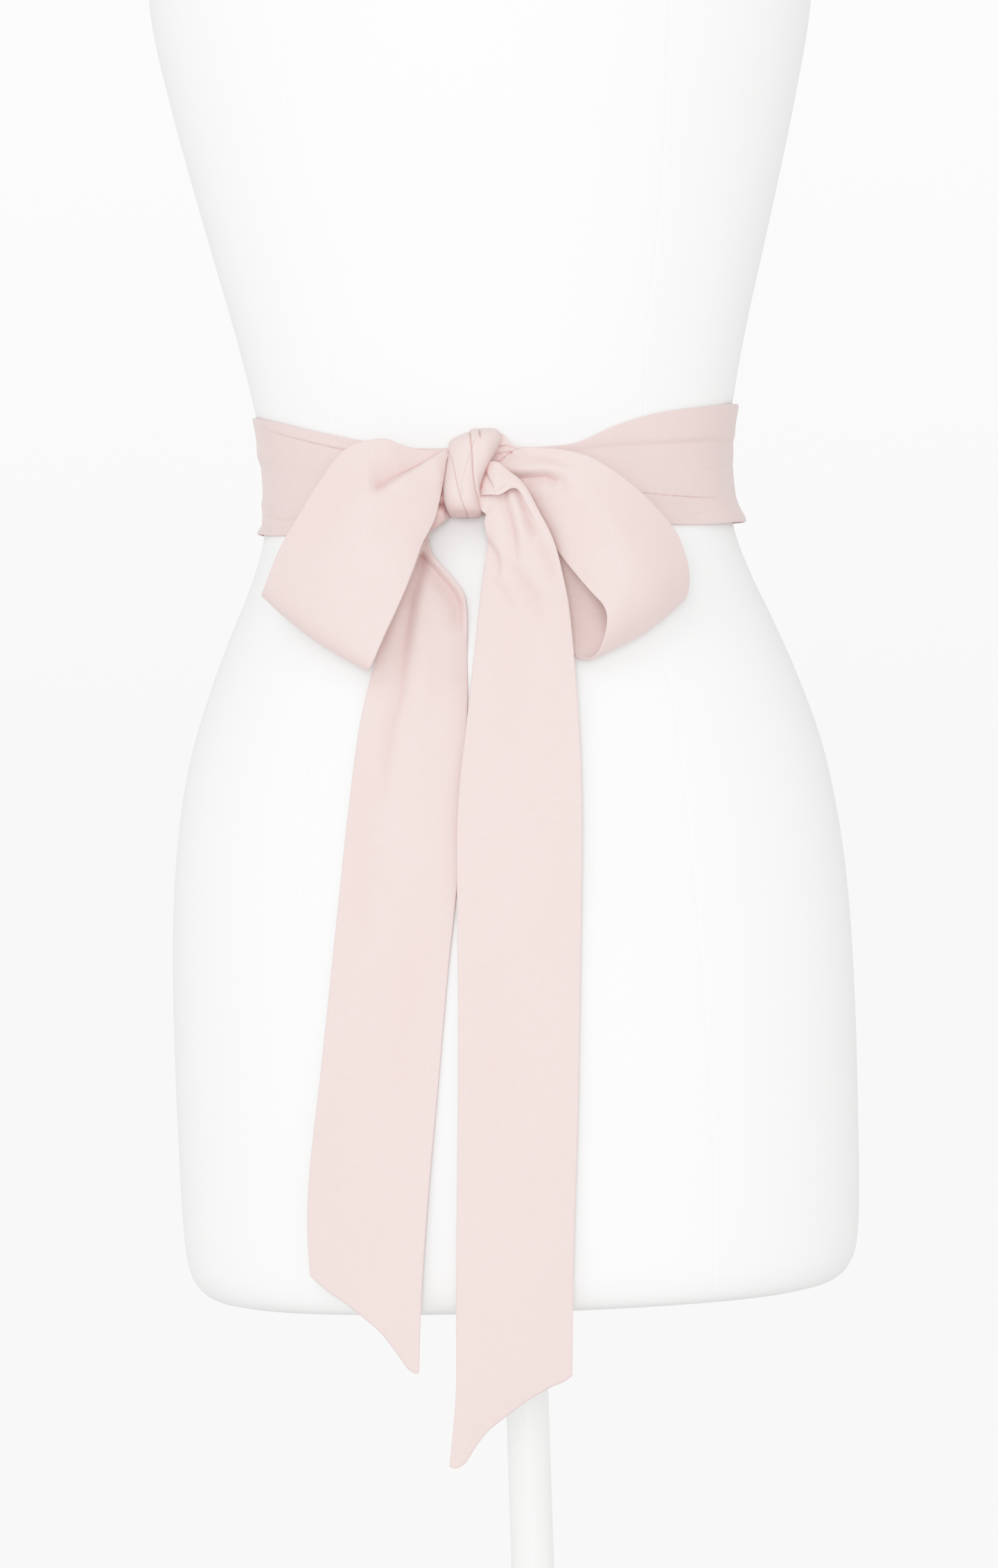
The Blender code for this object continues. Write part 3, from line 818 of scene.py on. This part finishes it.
def press(sheet, folds, layer):
    """The relief that a list of folds gives a sheet, where the layer's share is not nil."""
    x, up = sheet[..., 0], sheet[..., 2] - WAIST
    relief = np.zeros_like(x)
    for line, depth, left, right, start, end in folds:
        relief += fold(x, up, line, depth, left, right, start, end)
    return relief * layer[:, None]


def share_between(places, start, end):
    """From 0 at the start to 1 at the end, with a soft beginning and end."""
    t = np.clip((places - start) / (end - start), 0.0, 1.0)
    return t * t * (3.0 - 2.0 * t)


def pinch(x, up):
    """The dimple: cloth sinks above its sharp edge, and stands a little proud below it."""
    along = (x - PINCH_START[0]) * PINCH_WAY[0] + (up - PINCH_START[1]) * PINCH_WAY[1]
    above = (x - PINCH_START[0]) * PINCH_WAY[1] - (up - PINCH_START[1]) * PINCH_WAY[0]
    above = above + PINCH_BOW * np.sin(np.clip(along / 30.0, 0.0, 1.0) * math.pi)
    rising = np.maximum(above, 0.0)
    blunt = PINCH_BLUNT[0] + PINCH_BLUNT[1] * share_between(along, 12.0, 38.0)
    inside = soft_step(above / blunt)
    wall = soft_step((PINCH_LENGTH - 0.03 * rising**2 - along) / (1.1 + 0.10 * rising))
    depth = PINCH_DEPTH[0] + PINCH_DEPTH[1] * share_between(along, 0.0, 36.0)
    sunk = depth * wall * np.exp(-((rising / PINCH_ABOVE) ** 1.6))
    fading = 1.0 - share_between(along, 26.0, 40.0)
    proud = PINCH_PROUD * fading * np.exp(np.minimum(above, 0.0) / PINCH_BELOW)
    return soft_step((along + 3.0) / 1.5) * (proud * (1.0 - inside) - sunk * inside)


def worked(sheet, relief):
    """A strip with its relief pressed in, its thickness and the relief, for add_cloth."""
    return sheet + normals(sheet) * relief[..., None], CLOTH_THICKNESS, relief


def make_left_loop():
    sheet, places = make_ribbon(LOOP_LEFT, LOOP_WIDTH)
    front = 1.0 - share_between(places, *LEFT_FRONT_END)
    back = share_between(places, *LEFT_BACK_START)
    relief = press(sheet, LEFT_LOOP_FOLDS, front) + press(sheet, LEFT_BACK_FOLDS, back)
    x, up = sheet[..., 0], sheet[..., 2] - WAIST
    relief += pinch(x, up) * front[:, None]
    return worked(sheet, relief)


left_loop = add_cloth("sash_left_loop", *make_left_loop())
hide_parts("sash_loop_left")


# The right loop: the same cloth, which leaves the knot under the falling end, so its
# root is crowded into ridges there. Its lower edge stands off and shows the inside,
# and its far end sags a little further round than the left one's.
LOOP_RIGHT = (
    # place, x, up and out of the left edge, x, up and out of the right edge, bulge
    (-0.5, -9.6, -2.0, 111, -0.6, 20.6, 110.5, 0.1),
    (0, -5.4, -5.6, 112, 4.1, 17.9, 112.5, 0.3),
    (1, 4.4, -11.4, 112, 10.0, 12.0, 115, 1.5),
    (2, 14.4, -18.6, 113, 20.6, 11.0, 118, 2.5),
    (3, 22.6, -30.2, 115, 33.6, 9.0, 121, 4.0),
    (4, 30.4, -42.6, 119, 45.4, 5.4, 122, 5.0),
    (5, 38.2, -53.4, 124, 58.0, -2.4, 121, 5.5),
    (6, 44.8, -61.8, 128, 69.4, -11.8, 119, 5.5),
    (7, 49.2, -67.0, 130, 79.0, -22.0, 116, 5.5),
    (8, 51.0, -71.8, 131, 87.0, -32.6, 112, 5.0),
    (9, 50.8, -77.6, 130, 91.8, -46.0, 108, 4.5),
    (10, 49.2, -84.0, 127, 92.8, -56.8, 103, 4.0),
    (11, 46.0, -91.0, 121, 90.6, -64.4, 98, 3.5),
    (12, 40.6, -93.6, 114.5, 86.6, -59.0, 94, 3.5),
    (13, 34.4, -90.2, 111, 82.0, -45.0, 92, 3.5),
    (14, 28.0, -75.4, 109.5, 72.6, -27.0, 93, 3.0),
    (15, 21.8, -54.8, 108, 59.4, -12.4, 96, 2.5),
    (16, 15.0, -34.0, 106, 42.6, -1.6, 100, 2.0),
    (17, 7.6, -18.0, 105.5, 25.4, 5.4, 104, 1.0),
    (18, -5.2, -6.2, 106.5, 2.6, 11.0, 107, 0.3),
    (18.4, -9.5, -5.0, 106.5, -3.0, 11.0, 107, 0.1),
)
RIGHT_LOOP_FOLDS = (
    (((6.0, -4.6), (13.2, -3.6), (22.7, -3.0), (30.0, -6.4)), 2.7, 2.4, 4.2, 0.8, 0.0),
    (((22.0, -3.2), (30.5, -5.0), (34.5, -12.0)), 1.4, 3.0, 3.5, 0.3, 0.0),
    (((2.0, 1.2), (14.0, 0.8), (26.0, 0.4), (38.0, -3.0)), -1.6, 2.6, 2.6, 0.6, 0.0),
    (((4.0, 5.6), (14.0, 6.2), (24.0, 5.6), (36.0, 2.0)), 0.8, 1.6, 2.6, 0.5, 0.0),
    (((24.0, -12.0), (38.0, -20.0), (52.0, -40.0)), 1.0, 6.0, 9.0, 0.3, 0.0),
    (((46.0, -4.0), (64.0, -22.0), (80.0, -50.0)), 0.8, 10.0, 9.0, 0.0, 0.3),
    (((54.0, -60.0), (58.0, -76.0), (54.0, -92.0)), -0.8, 5.0, 6.0, 0.2, 0.2),
)
# where its crowded root laps over itself, with each lap's rise and reach, then how deep
# their lines cut, how soft their step is, and the share of both at their start and end
RIGHT_LOOP_LAPS = (
    (((-1.6, 12.6), (1.7, 13.0), (5.7, 12.8), (10.4, 11.0)), 1.9, 2.4),
    (((-3.0, 8.6), (0.3, 9.3), (4.0, 9.7), (8.8, 9.9)), 1.6, 1.8),
    (((14.0, 11.0), (8.9, 9.5), (5.5, 7.6), (2.3, 4.9), (-2.4, 3.6)), 2.2, 2.6),
)
RIGHT_LAP_STEP = (0.9, 0.3, 1.0, 0.5)
RIGHT_BACK_FOLDS = (
    (((20.0, -28.0), (40.0, -50.0), (50.0, -84.0)), 1.4, 5.0, 6.0, 0.6, 0.1),
    (((26.0, -6.0), (52.0, -28.0), (78.0, -56.0)), 1.6, 7.0, 5.0, 0.6, 0.0),
    (((8.0, -4.0), (24.0, -14.0), (42.0, -34.0)), 1.6, 3.0, 3.0, 0.8, 0.0),
)
RIGHT_FRONT_END = (10.0, 11.2)
RIGHT_BACK_START = (11.4, 12.6)


def make_right_loop():
    sheet, places = make_ribbon(LOOP_RIGHT, LOOP_WIDTH)
    front = 1.0 - share_between(places, *RIGHT_FRONT_END)
    back = share_between(places, *RIGHT_BACK_START)
    relief = press(sheet, RIGHT_LOOP_FOLDS, front) + press(sheet, RIGHT_BACK_FOLDS, back)
    x, up = sheet[..., 0], sheet[..., 2] - WAIST
    for line, rise, reach in RIGHT_LOOP_LAPS:
        relief += lip(x, up, line, rise, reach, *RIGHT_LAP_STEP) * front[:, None]
    return worked(sheet, relief)


right_loop = add_cloth("sash_right_loop", *make_right_loop())
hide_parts("sash_loop_right")


# The left tail: one free end, which drops from behind the knot, comes out from under
# the left loop with its right edge rolled over, and hangs to a tip cut on the slant.
TAIL_LEFT = (
    # place, x, up and out of the left edge, x, up and out of the right edge, bulge
    (0, -33.0, -17.0, 108.5, -29.4, -20.6, 108.5, 0.5),
    (0.5, -38.4, -24.6, 105.0, -34.6, -30.4, 106.0, 0.6),
    (1, -44.6, -36.0, 102.5, -32.2, -40.2, 104.0, 1.0),
    (1.5, -49.6, -48.0, 102.5, -22.8, -51.2, 104.0, 1.6),
    (2, -53.4, -60.0, 103.0, -17.4, -61.4, 104.0, 2.0),
    (3, -62.6, -90.0, 104.0, -17.4, -90.0, 104, 2.6),
    (4, -71.6, -122.0, 106, -18.4, -119.0, 111, 2.0),
    (5, -78.7, -164.9, 109.5, -22.1, -164.0, 117, 2.0),
    (6, -84.5, -207.0, 111, -26.4, -205.0, 121, 2.0),
    (7, -89.6, -245.0, 112, -31.7, -243.0, 122, 2.0),
    (8, -96.6, -295.0, 110, -38.0, -295.0, 122, 2.0),
    (9, -103.0, -338.0, 108, -45.0, -352.0, 121, 1.5),
    (10, -105.2, -366.0, 107, -49.9, -400.0, 120, 1.5),
    (11, -104.8, -391.0, 107, -52.6, -438.0, 120, 1.0),
)
# share of the way across, and how much lower than a straight cut the end hangs there
LEFT_TAIL_CUT = (
    (0.0, 0.0),
    (0.05, 0.5),
    (0.20, 0.0),
    (0.32, -1.6),
    (0.50, -2.2),
    (0.65, -2.2),
    (0.73, -0.6),
    (0.82, 1.9),
    (0.90, 4.2),
    (0.96, 3.6),
    (1.0, 1.6),
)
LEFT_TAIL_FOLDS = (
    (
        ((-36, -36), (-44, -60), (-48.6, -84), (-51, -105), (-57, -122), (-63, -160)),
        2.4,
        3.6,
        4.6,
        0.8,
        0.0,
    ),
    (((-33.0, -42.0), (-39.0, -66.0), (-40.0, -104.0), (-45.0, -150.0)), -1.4, 5.0, 6.0, 0.6, 0.0),
    (
        ((-38.4, -39.6), (-31.4, -47.0), (-23.8, -56.0), (-20.0, -63.0), (-19.6, -78.0)),
        3.6,
        1.7,
        7.0,
        1.0,
        0.0,
    ),
    (((-68.0, -120.0), (-74.0, -170.0), (-78.0, -230.0)), 1.0, 8.0, 8.0, 0.3, 0.0),
    (((-44.0, -190.0), (-52.0, -260.0), (-62.0, -340.0)), 0.7, 12.0, 12.0, 0.0, 0.0),
    (((-78.0, -280.0), (-86.0, -350.0)), -0.6, 10.0, 12.0, 0.0, 0.0),
)
TAIL_WIDTH = 58.0
TAIL_SPACING = 1.0
# how far up from the end the line of its cut is still felt
CUT_REACH = 45.0
# where the root of this tail is crushed beside the knot, in two small rolls
UPPER_TUCK = (
    # place, x, up and out of the middle, half width, half depth
    (0, -22.0, -9.6, 108.0, 3.4, 4.0),
    (1, -26.4, -11.4, 110.5, 4.2, 4.4),
    (2, -33.0, -13.0, 110.0, 4.8, 4.4),
    (3, -40.0, -15.0, 107.0, 4.0, 3.0),
)
LOWER_TUCK = (
    (0, -23.6, -17.6, 107.0, 3.6, 4.0),
    (1, -28.0, -18.6, 111.5, 5.2, 5.0),
    (2, -33.6, -21.4, 111.0, 5.8, 4.8),
    (3, -40.6, -27.4, 106.5, 4.6, 3.2),
)
ROLL_COLUMNS = 44
ROLL_ROWS = 70
# painted shade over the whole of each roll, crushed in beside the knot
ROLL_PAINTED_SHADE = 0.35
# how much a roll is crushed, its length and radius as cloth, and how far its weave lies
# off the tail's
ROLL_CRUSH = 0.10
ROLL_LENGTH = 26.0
ROLL_RADIUS = 5.0
ROLL_PLY = 40.0


def cut_end(sheet, cut):
    """Moves a hanging end to the line that it is cut to, less and less further up."""
    across = np.linalg.norm(sheet[-1] - sheet[-1, 0], axis=-1)
    lower = smooth(cut, across / across[-1])[:, 0]
    to_end = np.linalg.norm(sheet - sheet[-1], axis=-1)
    near_end = np.clip(1.0 - to_end / CUT_REACH, 0.0, 1.0) ** 2
    sheet[..., 2] -= lower * near_end


def make_left_tail():
    sheet, places = make_ribbon(TAIL_LEFT, TAIL_WIDTH, TAIL_SPACING)
    cut_end(sheet, LEFT_TAIL_CUT)
    return worked(sheet, press(sheet, LEFT_TAIL_FOLDS, np.ones_like(places)))


def make_roll(table):
    """A crushed roll of cloth along a path, rounded off at both ends."""
    share = (1.0 - np.cos(np.linspace(0.0, math.pi, ROLL_ROWS))) / 2
    first, last = table[0][0], table[-1][0]
    values = smooth(table, first + (last - first) * share)
    middle = np.stack([values[:, 0], -values[:, 2], WAIST + values[:, 1]], axis=1)
    forward = np.array([0.0, -1.0, 0.0])
    beside = np.cross(np.gradient(middle, axis=0), forward)
    beside /= np.linalg.norm(beside, axis=1, keepdims=True)
    closing = np.sqrt(np.clip(1.0 - (2.0 * share - 1.0) ** 6, 0.0006, 1.0))
    angle = 2 * math.pi * np.arange(ROLL_COLUMNS) / ROLL_COLUMNS
    wide = (values[:, 3] * closing)[:, None] * np.cos(angle)
    deep = (values[:, 4] * closing)[:, None] * np.sin(angle)
    deep *= 1.0 + ROLL_CRUSH * np.cos(3.0 * angle + 5.0 * share[:, None])
    points = middle[:, None] + beside[:, None] * wide[..., None] + forward * deep[..., None]
    along, around = share[:, None] * ROLL_LENGTH, angle[None, :] * ROLL_RADIUS
    weave = np.stack(np.broadcast_arrays(along, around, ROLL_PLY), axis=-1).reshape(-1, 3)
    painted_shade = np.full(points.shape[:2], ROLL_PAINTED_SHADE)
    return points, ring_faces(ROLL_ROWS, ROLL_COLUMNS), weave, painted_shade


left_tail = add_cloth("sash_left_tail", *make_left_tail())
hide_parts("sash_tail_left")
upper_tuck = add_closed_cloth("sash_upper_tuck", *make_roll(UPPER_TUCK))
lower_tuck = add_closed_cloth("sash_lower_tuck", *make_roll(LOWER_TUCK))


# The right tail: the other free end, which comes over the front of the crossing. Its
# top is crushed under a small turned-down fold, two deep valleys run down from that,
# and below it hangs flat to its slanted tip.
TAIL_RIGHT = (
    # place, x, up and out of the left edge, x, up and out of the right edge, bulge
    (-0.5, -11.6, -14.0, 117.0, -7.0, 4.0, 117.0, 0.1),
    (0, -8.6, -18.6, 118.5, -2.4, 5.0, 118.5, 0.5),
    (0.5, -5.8, -21.4, 118.9, 4.6, 0.4, 119.6, 1.0),
    (1, -6.6, -25.0, 119, 9.6, -4.2, 120.5, 1.5),
    (2, -6.0, -31.0, 118.5, 17.6, -17.0, 122.5, 2.5),
    (3, -6.4, -39.0, 117.5, 26.2, -34.0, 123.5, 3.0),
    (4, -9.0, -54.0, 116.5, 30.8, -53.0, 122, 3.0),
    (5, -11.9, -74.0, 116, 33.8, -74.0, 119, 2.5),
    (6, -18.4, -119.5, 118, 36.0, -120.5, 120, 2.0),
    (7, -23.2, -152.0, 121, 36.4, -153.5, 122, 1.5),
    (8, -25.6, -182.0, 124, 35.6, -183.5, 125, 1.5),
    (9, -27.0, -243.0, 126, 32.8, -244.5, 126, 1.5),
    (10, -29.2, -310.4, 126, 29.4, -312.0, 126, 1.5),
    (11, -31.4, -360.0, 126, 26.6, -356.0, 125, 1.5),
    (12, -33.6, -412.0, 126, 24.4, -392.0, 125, 1.5),
    (13, -35.0, -450.0, 126, 23.2, -420.0, 125, 1.5),
    (14, -39.2, -484.0, 126, 22.2, -442.5, 125, 1.0),
)
RIGHT_TAIL_CUT = (
    (0.0, 1.0),
    (0.05, 4.1),
    (0.10, 4.9),
    (0.14, 4.4),
    (0.19, 1.8),
    (0.24, -0.4),
    (0.32, -2.6),
    (0.45, -3.4),
    (0.60, -3.7),
    (0.73, -2.8),
    (0.84, -1.6),
    (0.92, 0.0),
    (1.0, 0.2),
)
RIGHT_TAIL_FOLDS = (
    (
        ((3.2, -10.0), (3.9, -16.0), (6.0, -24.4), (7.4, -31.2), (8.4, -46.0)),
        2.2,
        2.2,
        3.4,
        0.9,
        0.0,
    ),
    (((9.2, -9.0), (12.0, -16.3), (14.2, -22.4), (18.5, -33.0)), 1.7, 2.0, 3.0, 0.9, 0.0),
    (((7.4, -12.0), (10.0, -22.0), (13.0, -36.0)), -1.2, 2.6, 2.6, 0.8, 0.0),
    (((14.5, -10.0), (20.0, -22.0), (26.0, -40.0)), -1.0, 2.2, 2.8, 0.8, 0.0),
    (((-6.6, -33.0), (-1.4, -40.6), (-0.8, -47.0), (-1.6, -53.0)), 1.8, 2.0, 3.6, 0.8, 0.0),
    (((-3.0, -22.0), (-1.0, -34.0), (2.0, -56.0)), -0.8, 3.0, 3.6, 0.6, 0.0),
    (((14.0, -26.0), (17.0, -31.1), (24.0, -44.0), (30.0, -58.0)), 1.6, 3.0, 3.6, 0.5, 0.0),
    (((4.0, -46.0), (9.0, -52.0), (15.1, -60.6), (22.0, -76.0)), 1.8, 3.6, 4.6, 0.5, 0.0),
    (((-4.0, -54.0), (0.6, -59.0), (6.0, -68.0)), 1.0, 3.0, 3.6, 0.5, 0.0),
    (((10.0, -50.0), (4.0, -90.0), (0.0, -140.0)), 0.7, 10.0, 9.0, 0.2, 0.0),
    (((18.0, -170.0), (16.0, -260.0)), -0.5, 12.0, 12.0, 0.0, 0.0),
    (((-12.0, -230.0), (-14.0, -330.0)), 0.5, 10.0, 12.0, 0.0, 0.0),
    (((8.0, -350.0), (2.0, -420.0)), -0.5, 12.0, 12.0, 0.0, 0.0),
)
TURNED_FOLD = (
    # place, x, up and out of the hem, x, up and out of the folded top, bulge
    (0, -11.6, -10.8, 113.0, -8.0, 2.6, 114.0, 0.2),
    (1, -8.2, -11.7, 119.6, -4.0, 4.6, 119.4, 0.6),
    (2, -3.4, -11.8, 124.4, 0.4, 4.2, 122.4, 1.0),
    (3, 0.2, -12.2, 125.2, 3.6, 1.6, 123.0, 1.3),
    (4, 3.4, -10.9, 125.4, 6.8, -1.2, 123.6, 1.3),
    (5, 6.4, -9.2, 125.2, 9.8, -3.6, 124.0, 1.1),
    (6, 9.2, -9.2, 124.8, 12.6, -6.8, 124.0, 0.9),
    (7, 11.6, -12.0, 124.6, 15.2, -10.8, 124.0, 0.8),
    (8, 14.2, -17.6, 124.4, 17.9, -16.4, 123.9, 0.7),
    (9, 17.6, -24.6, 124.0, 21.0, -22.8, 123.6, 0.5),
    (10, 21.8, -31.4, 122.6, 23.8, -29.0, 122.4, 0.2),
)
TURNED_FOLD_CREASES = (
    (((-6.2, 1.0), (-4.3, -4.4), (-2.0, -9.0)), 1.5, 0.8, 2.4, 0.6, 0.5),
    (((-3.7, -5.0), (-2.0, -7.8)), 0.5, 0.5, 0.7, 0.4, 0.4),
    (((-0.8, -10.2), (2.2, -8.8), (6.0, -6.6)), 0.7, 1.2, 1.6, 0.5, 0.0),
)
TURNED_FOLD_WIDTH = 14.0
TURNED_FOLD_SPACING = 0.3
TURNED_FOLD_THICKNESS = 1.1


def make_right_tail():
    sheet, places = make_ribbon(TAIL_RIGHT, TAIL_WIDTH, TAIL_SPACING)
    cut_end(sheet, RIGHT_TAIL_CUT)
    return worked(sheet, press(sheet, RIGHT_TAIL_FOLDS, np.ones_like(places)))


def make_turned_fold():
    sheet, places = make_ribbon(TURNED_FOLD, TURNED_FOLD_WIDTH, TURNED_FOLD_SPACING)
    relief = press(sheet, TURNED_FOLD_CREASES, np.ones_like(places))
    return sheet + normals(sheet) * relief[..., None]


right_tail = add_cloth("sash_right_tail", *make_right_tail())
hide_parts("sash_tail_right")
turned_fold = add_cloth("sash_turned_fold", make_turned_fold(), TURNED_FOLD_THICKNESS)


# Between its layers the sash is painted a deeper, darker pink: painted shade for the shade and
# the colour that each layer throws on the next. How closely cloth or form stands round each place
# is found with a fan of short feelers from the finished pieces, and added to the painted shade of
# the hollows.
FEELERS = 28
FEELER_LENGTH = 30.0
# they start just clear of the cloth's own face, from every fourth point each way, and
# meet a copy of the pieces that keeps every third
FEELER_START = 1.1
FEELER_STEP = 4
COPY_STEP = 3
# how much painted shade the closeness gives, and the most painted shade any place gets
CLOSENESS_PAINTED_SHADE = 2.2
MOST_PAINTED_SHADE = 0.95


def feeler_fan():
    """Feelers spread evenly over a half turn in every direction round straight out."""
    index = np.arange(FEELERS) + 0.5
    lean = np.sqrt(index / FEELERS)
    turn = index * math.pi * (3.0 - math.sqrt(5.0))
    return np.stack([lean * np.cos(turn), lean * np.sin(turn), np.sqrt(1.0 - lean**2)], axis=1)


def closeness(grid, facing, tree, fan):
    """For each place how near the next layer is: 0 with none in reach, 1 if it touches."""
    aside = np.cross(facing, np.array([0.31, 0.23, 0.92]))
    aside /= np.maximum(np.linalg.norm(aside, axis=-1, keepdims=True), 1e-6)
    across = np.cross(facing, aside)
    found = np.zeros(grid.shape[:2])
    for place in np.ndindex(*found.shape):
        ways = np.stack([aside[place], across[place], facing[place]])
        start = Vector(grid[place] + facing[place] * FEELER_START)
        for feeler in fan @ ways:
            distance = tree.ray_cast(start, Vector(feeler), FEELER_LENGTH)[3]
            if distance is not None:
                found[place] += 1.0 - distance / FEELER_LENGTH
    return found / FEELERS


def coarse_places(count, step):
    """Every so many of a row of points, with the last one."""
    return np.unique(np.append(np.arange(0, count, step), count - 1))


def paint_shade_between_layers():
    """Adds each place's closeness, as more painted shade, to the painted shade that its piece
    already holds.
    """
    corners, faces = [], []
    for grid in [sheet for piece, sheet, sides in crepe_grids] + [shell_points]:
        down = coarse_places(grid.shape[0], COPY_STEP)
        over = coarse_places(grid.shape[1], COPY_STEP)
        coarse = grid[np.ix_(down, over)]
        first = len(corners)
        corners += coarse.reshape(-1, 3).tolist()
        index = first + np.arange(len(down) * len(over)).reshape(len(down), len(over))
        square = [index[:-1, :-1], index[1:, :-1], index[1:, 1:], index[:-1, 1:]]
        faces += np.stack(square, axis=-1).reshape(-1, 4).tolist()
    tree = BVHTree.FromPolygons(corners, faces)
    fan = feeler_fan()
    for piece, sheet, sides in crepe_grids:
        rows, columns = sheet.shape[:2]
        down, over = coarse_places(rows, FEELER_STEP), coarse_places(columns, FEELER_STEP)
        at = np.ix_(down, over)
        closeness_shades = []
        for facing in sides:
            found = closeness(sheet[at], facing[at], tree, fan)
            found = np.array([np.interp(np.arange(columns), over, line) for line in found])
            found = np.array([np.interp(np.arange(rows), down, line) for line in found.T]).T
            closeness_shades.append(found.ravel())
        shade_data = piece.data.attributes["painted_shade"].data
        total_shade = np.zeros(len(shade_data))
        shade_data.foreach_get("value", total_shade)
        total_shade = total_shade + CLOSENESS_PAINTED_SHADE * np.concatenate(closeness_shades) ** 3
        total_shade = np.clip(total_shade, 0.0, MOST_PAINTED_SHADE)
        shade_data.foreach_set("value", total_shade.astype(np.float32))


paint_shade_between_layers()


# The studio: a round pale floor in a bright even room, palest round the horizon, with
# one broad soft light high on the left of the front and one low and near the camera.
# The camera stands off at waist height, a hair tilted, as in the picture.
STUDIO_SHADE = 0.88
# radii of the floor's rings of points, in metres
FLOOR_RINGS = (0.3, 0.8, 1.4, 2.1)
FLOOR_SIDES = 96


def plain_paint(name, shade):
    """A flat wash of one shade with a faint cloud in it."""
    finish = Finish(name, (shade, shade, shade * 0.99), 0.9)
    finish.surface.inputs["Specular IOR Level"].default_value = 0.1
    here = finish.node("ShaderNodeTexCoord", output=3)
    cloud = finish.grain(here, 1.2, 3.0)
    pale = (shade * 1.01, shade * 1.01, shade)
    return finish.feed(Base_Color=finish.mix(cloud, (shade * 0.985,) * 3, pale))


def add_floor():
    turns = np.linspace(0.0, 2.0 * math.pi, FLOOR_SIDES, endpoint=False)
    points = [(r * math.cos(turn), r * math.sin(turn), 0.0) for r in FLOOR_RINGS for turn in turns]
    faces = [tuple(range(FLOOR_SIDES))]
    for ring in range(len(FLOOR_RINGS) - 1):
        inner, outer = ring * FLOOR_SIDES, (ring + 1) * FLOOR_SIDES
        for side in range(FLOOR_SIDES):
            beside = (side + 1) % FLOOR_SIDES
            faces.append((inner + side, outer + side, outer + beside, inner + beside))
    mesh = bpy.data.meshes.new("studio_floor")
    mesh.from_pydata(points, [], faces)
    mesh.materials.append(plain_paint("studio white", STUDIO_SHADE))
    mesh.shade_smooth()
    floor = bpy.data.objects.new("studio_floor", mesh)
    bpy.context.scene.collection.objects.link(floor)


add_floor()
LIGHTS_AIM = (0.0, 0.0, 0.95)


def add_light(name, place, width, power):
    """A square soft light that is turned to the middle of the form."""
    lamp = bpy.data.lights.new(name, "AREA")
    lamp.shape = "RECTANGLE"
    lamp.size = lamp.size_y = width
    lamp.energy = power
    holder = bpy.data.objects.new(name, lamp)
    holder.location = place
    aim = Vector(LIGHTS_AIM) - Vector(place)
    holder.rotation_euler = aim.to_track_quat("-Z", "Y").to_euler()
    bpy.context.scene.collection.objects.link(holder)


add_light("key_light", (-0.7, -2.6, 2.4), 1.6, 19.0)
add_light("front_light", (-0.1, -3.1, 1.0), 0.8, 28.5)

# the room's brightness by height, from straight down at 0 to straight up at 1
ROOM_SHADES = (
    (0.0, 0.50),
    (0.30, 0.55),
    (0.42, 0.86),
    (0.50, 0.85),
    (0.577, 0.97),
    (0.66, 0.85),
    (0.76, 0.36),
    (1.0, 0.36),
)
world = bpy.data.worlds.new("bright room")
bpy.context.scene.world = world
world.use_nodes = True
room = world.node_tree
direction = room.nodes.new("ShaderNodeTexCoord")
split = room.nodes.new("ShaderNodeSeparateXYZ")
scaled = room.nodes.new("ShaderNodeMapRange")
scaled.inputs["From Min"].default_value = -1.0
shades = room.nodes.new("ShaderNodeValToRGB")
stops = shades.color_ramp.elements
for place, shade in ROOM_SHADES[1:-1]:
    stops.new(place)
for stop, (place, shade) in zip(stops, ROOM_SHADES):
    stop.position = place
    stop.color = (shade, shade, shade * 0.995, 1.0)
room.links.new(direction.outputs["Generated"], split.inputs["Vector"])
room.links.new(split.outputs["Z"], scaled.inputs["Value"])
room.links.new(scaled.outputs["Result"], shades.inputs["Fac"])
room.links.new(shades.outputs["Color"], room.nodes["Background"].inputs["Color"])
room.nodes["Background"].inputs["Strength"].default_value = 1.0

# metres; the lens is in millimetres for a picture 36 mm tall, and the tilt in degrees
CAMERA_PLACE = (-0.004, -2.6, 0.867)
CAMERA_LENS = 116.5
CAMERA_TILT = 1.9
camera = bpy.data.objects.new("camera", bpy.data.cameras.new("camera"))
camera.data.sensor_fit = "VERTICAL"
camera.data.sensor_height = 36.0
camera.data.lens = CAMERA_LENS
camera.data.clip_end = 30.0
tilt = math.radians(CAMERA_TILT)
right = Vector((math.cos(tilt), 0.0, -math.sin(tilt)))
upward = Vector((math.sin(tilt), 0.0, math.cos(tilt)))
facing = Matrix((right, upward, -Vector((0.0, 1.0, 0.0)))).transposed().to_4x4()
camera.matrix_world = Matrix.Translation(CAMERA_PLACE) @ facing
bpy.context.scene.collection.objects.link(camera)
bpy.context.scene.camera = camera

# the picture is exposed high: its bright end is rolled off and its shadows are open
WHITE_LEVEL = 1.25
ROLL_OFF = 2.4
ROLL_OFF_STOPS = (0.08, 0.2, 0.35, 0.5, 0.7, 0.95)
view = bpy.context.scene.view_settings
view.view_transform = "Standard"
view.use_curve_mapping = True
roll_off = view.curve_mapping.curves[3].points
for level in ROLL_OFF_STOPS:
    roll_off.new(level, 1.0 - (1.0 - level / WHITE_LEVEL) ** ROLL_OFF)
roll_off[len(roll_off) - 1].location = (WHITE_LEVEL, 1.0)
view.curve_mapping.clip_max_x = WHITE_LEVEL
view.curve_mapping.update()
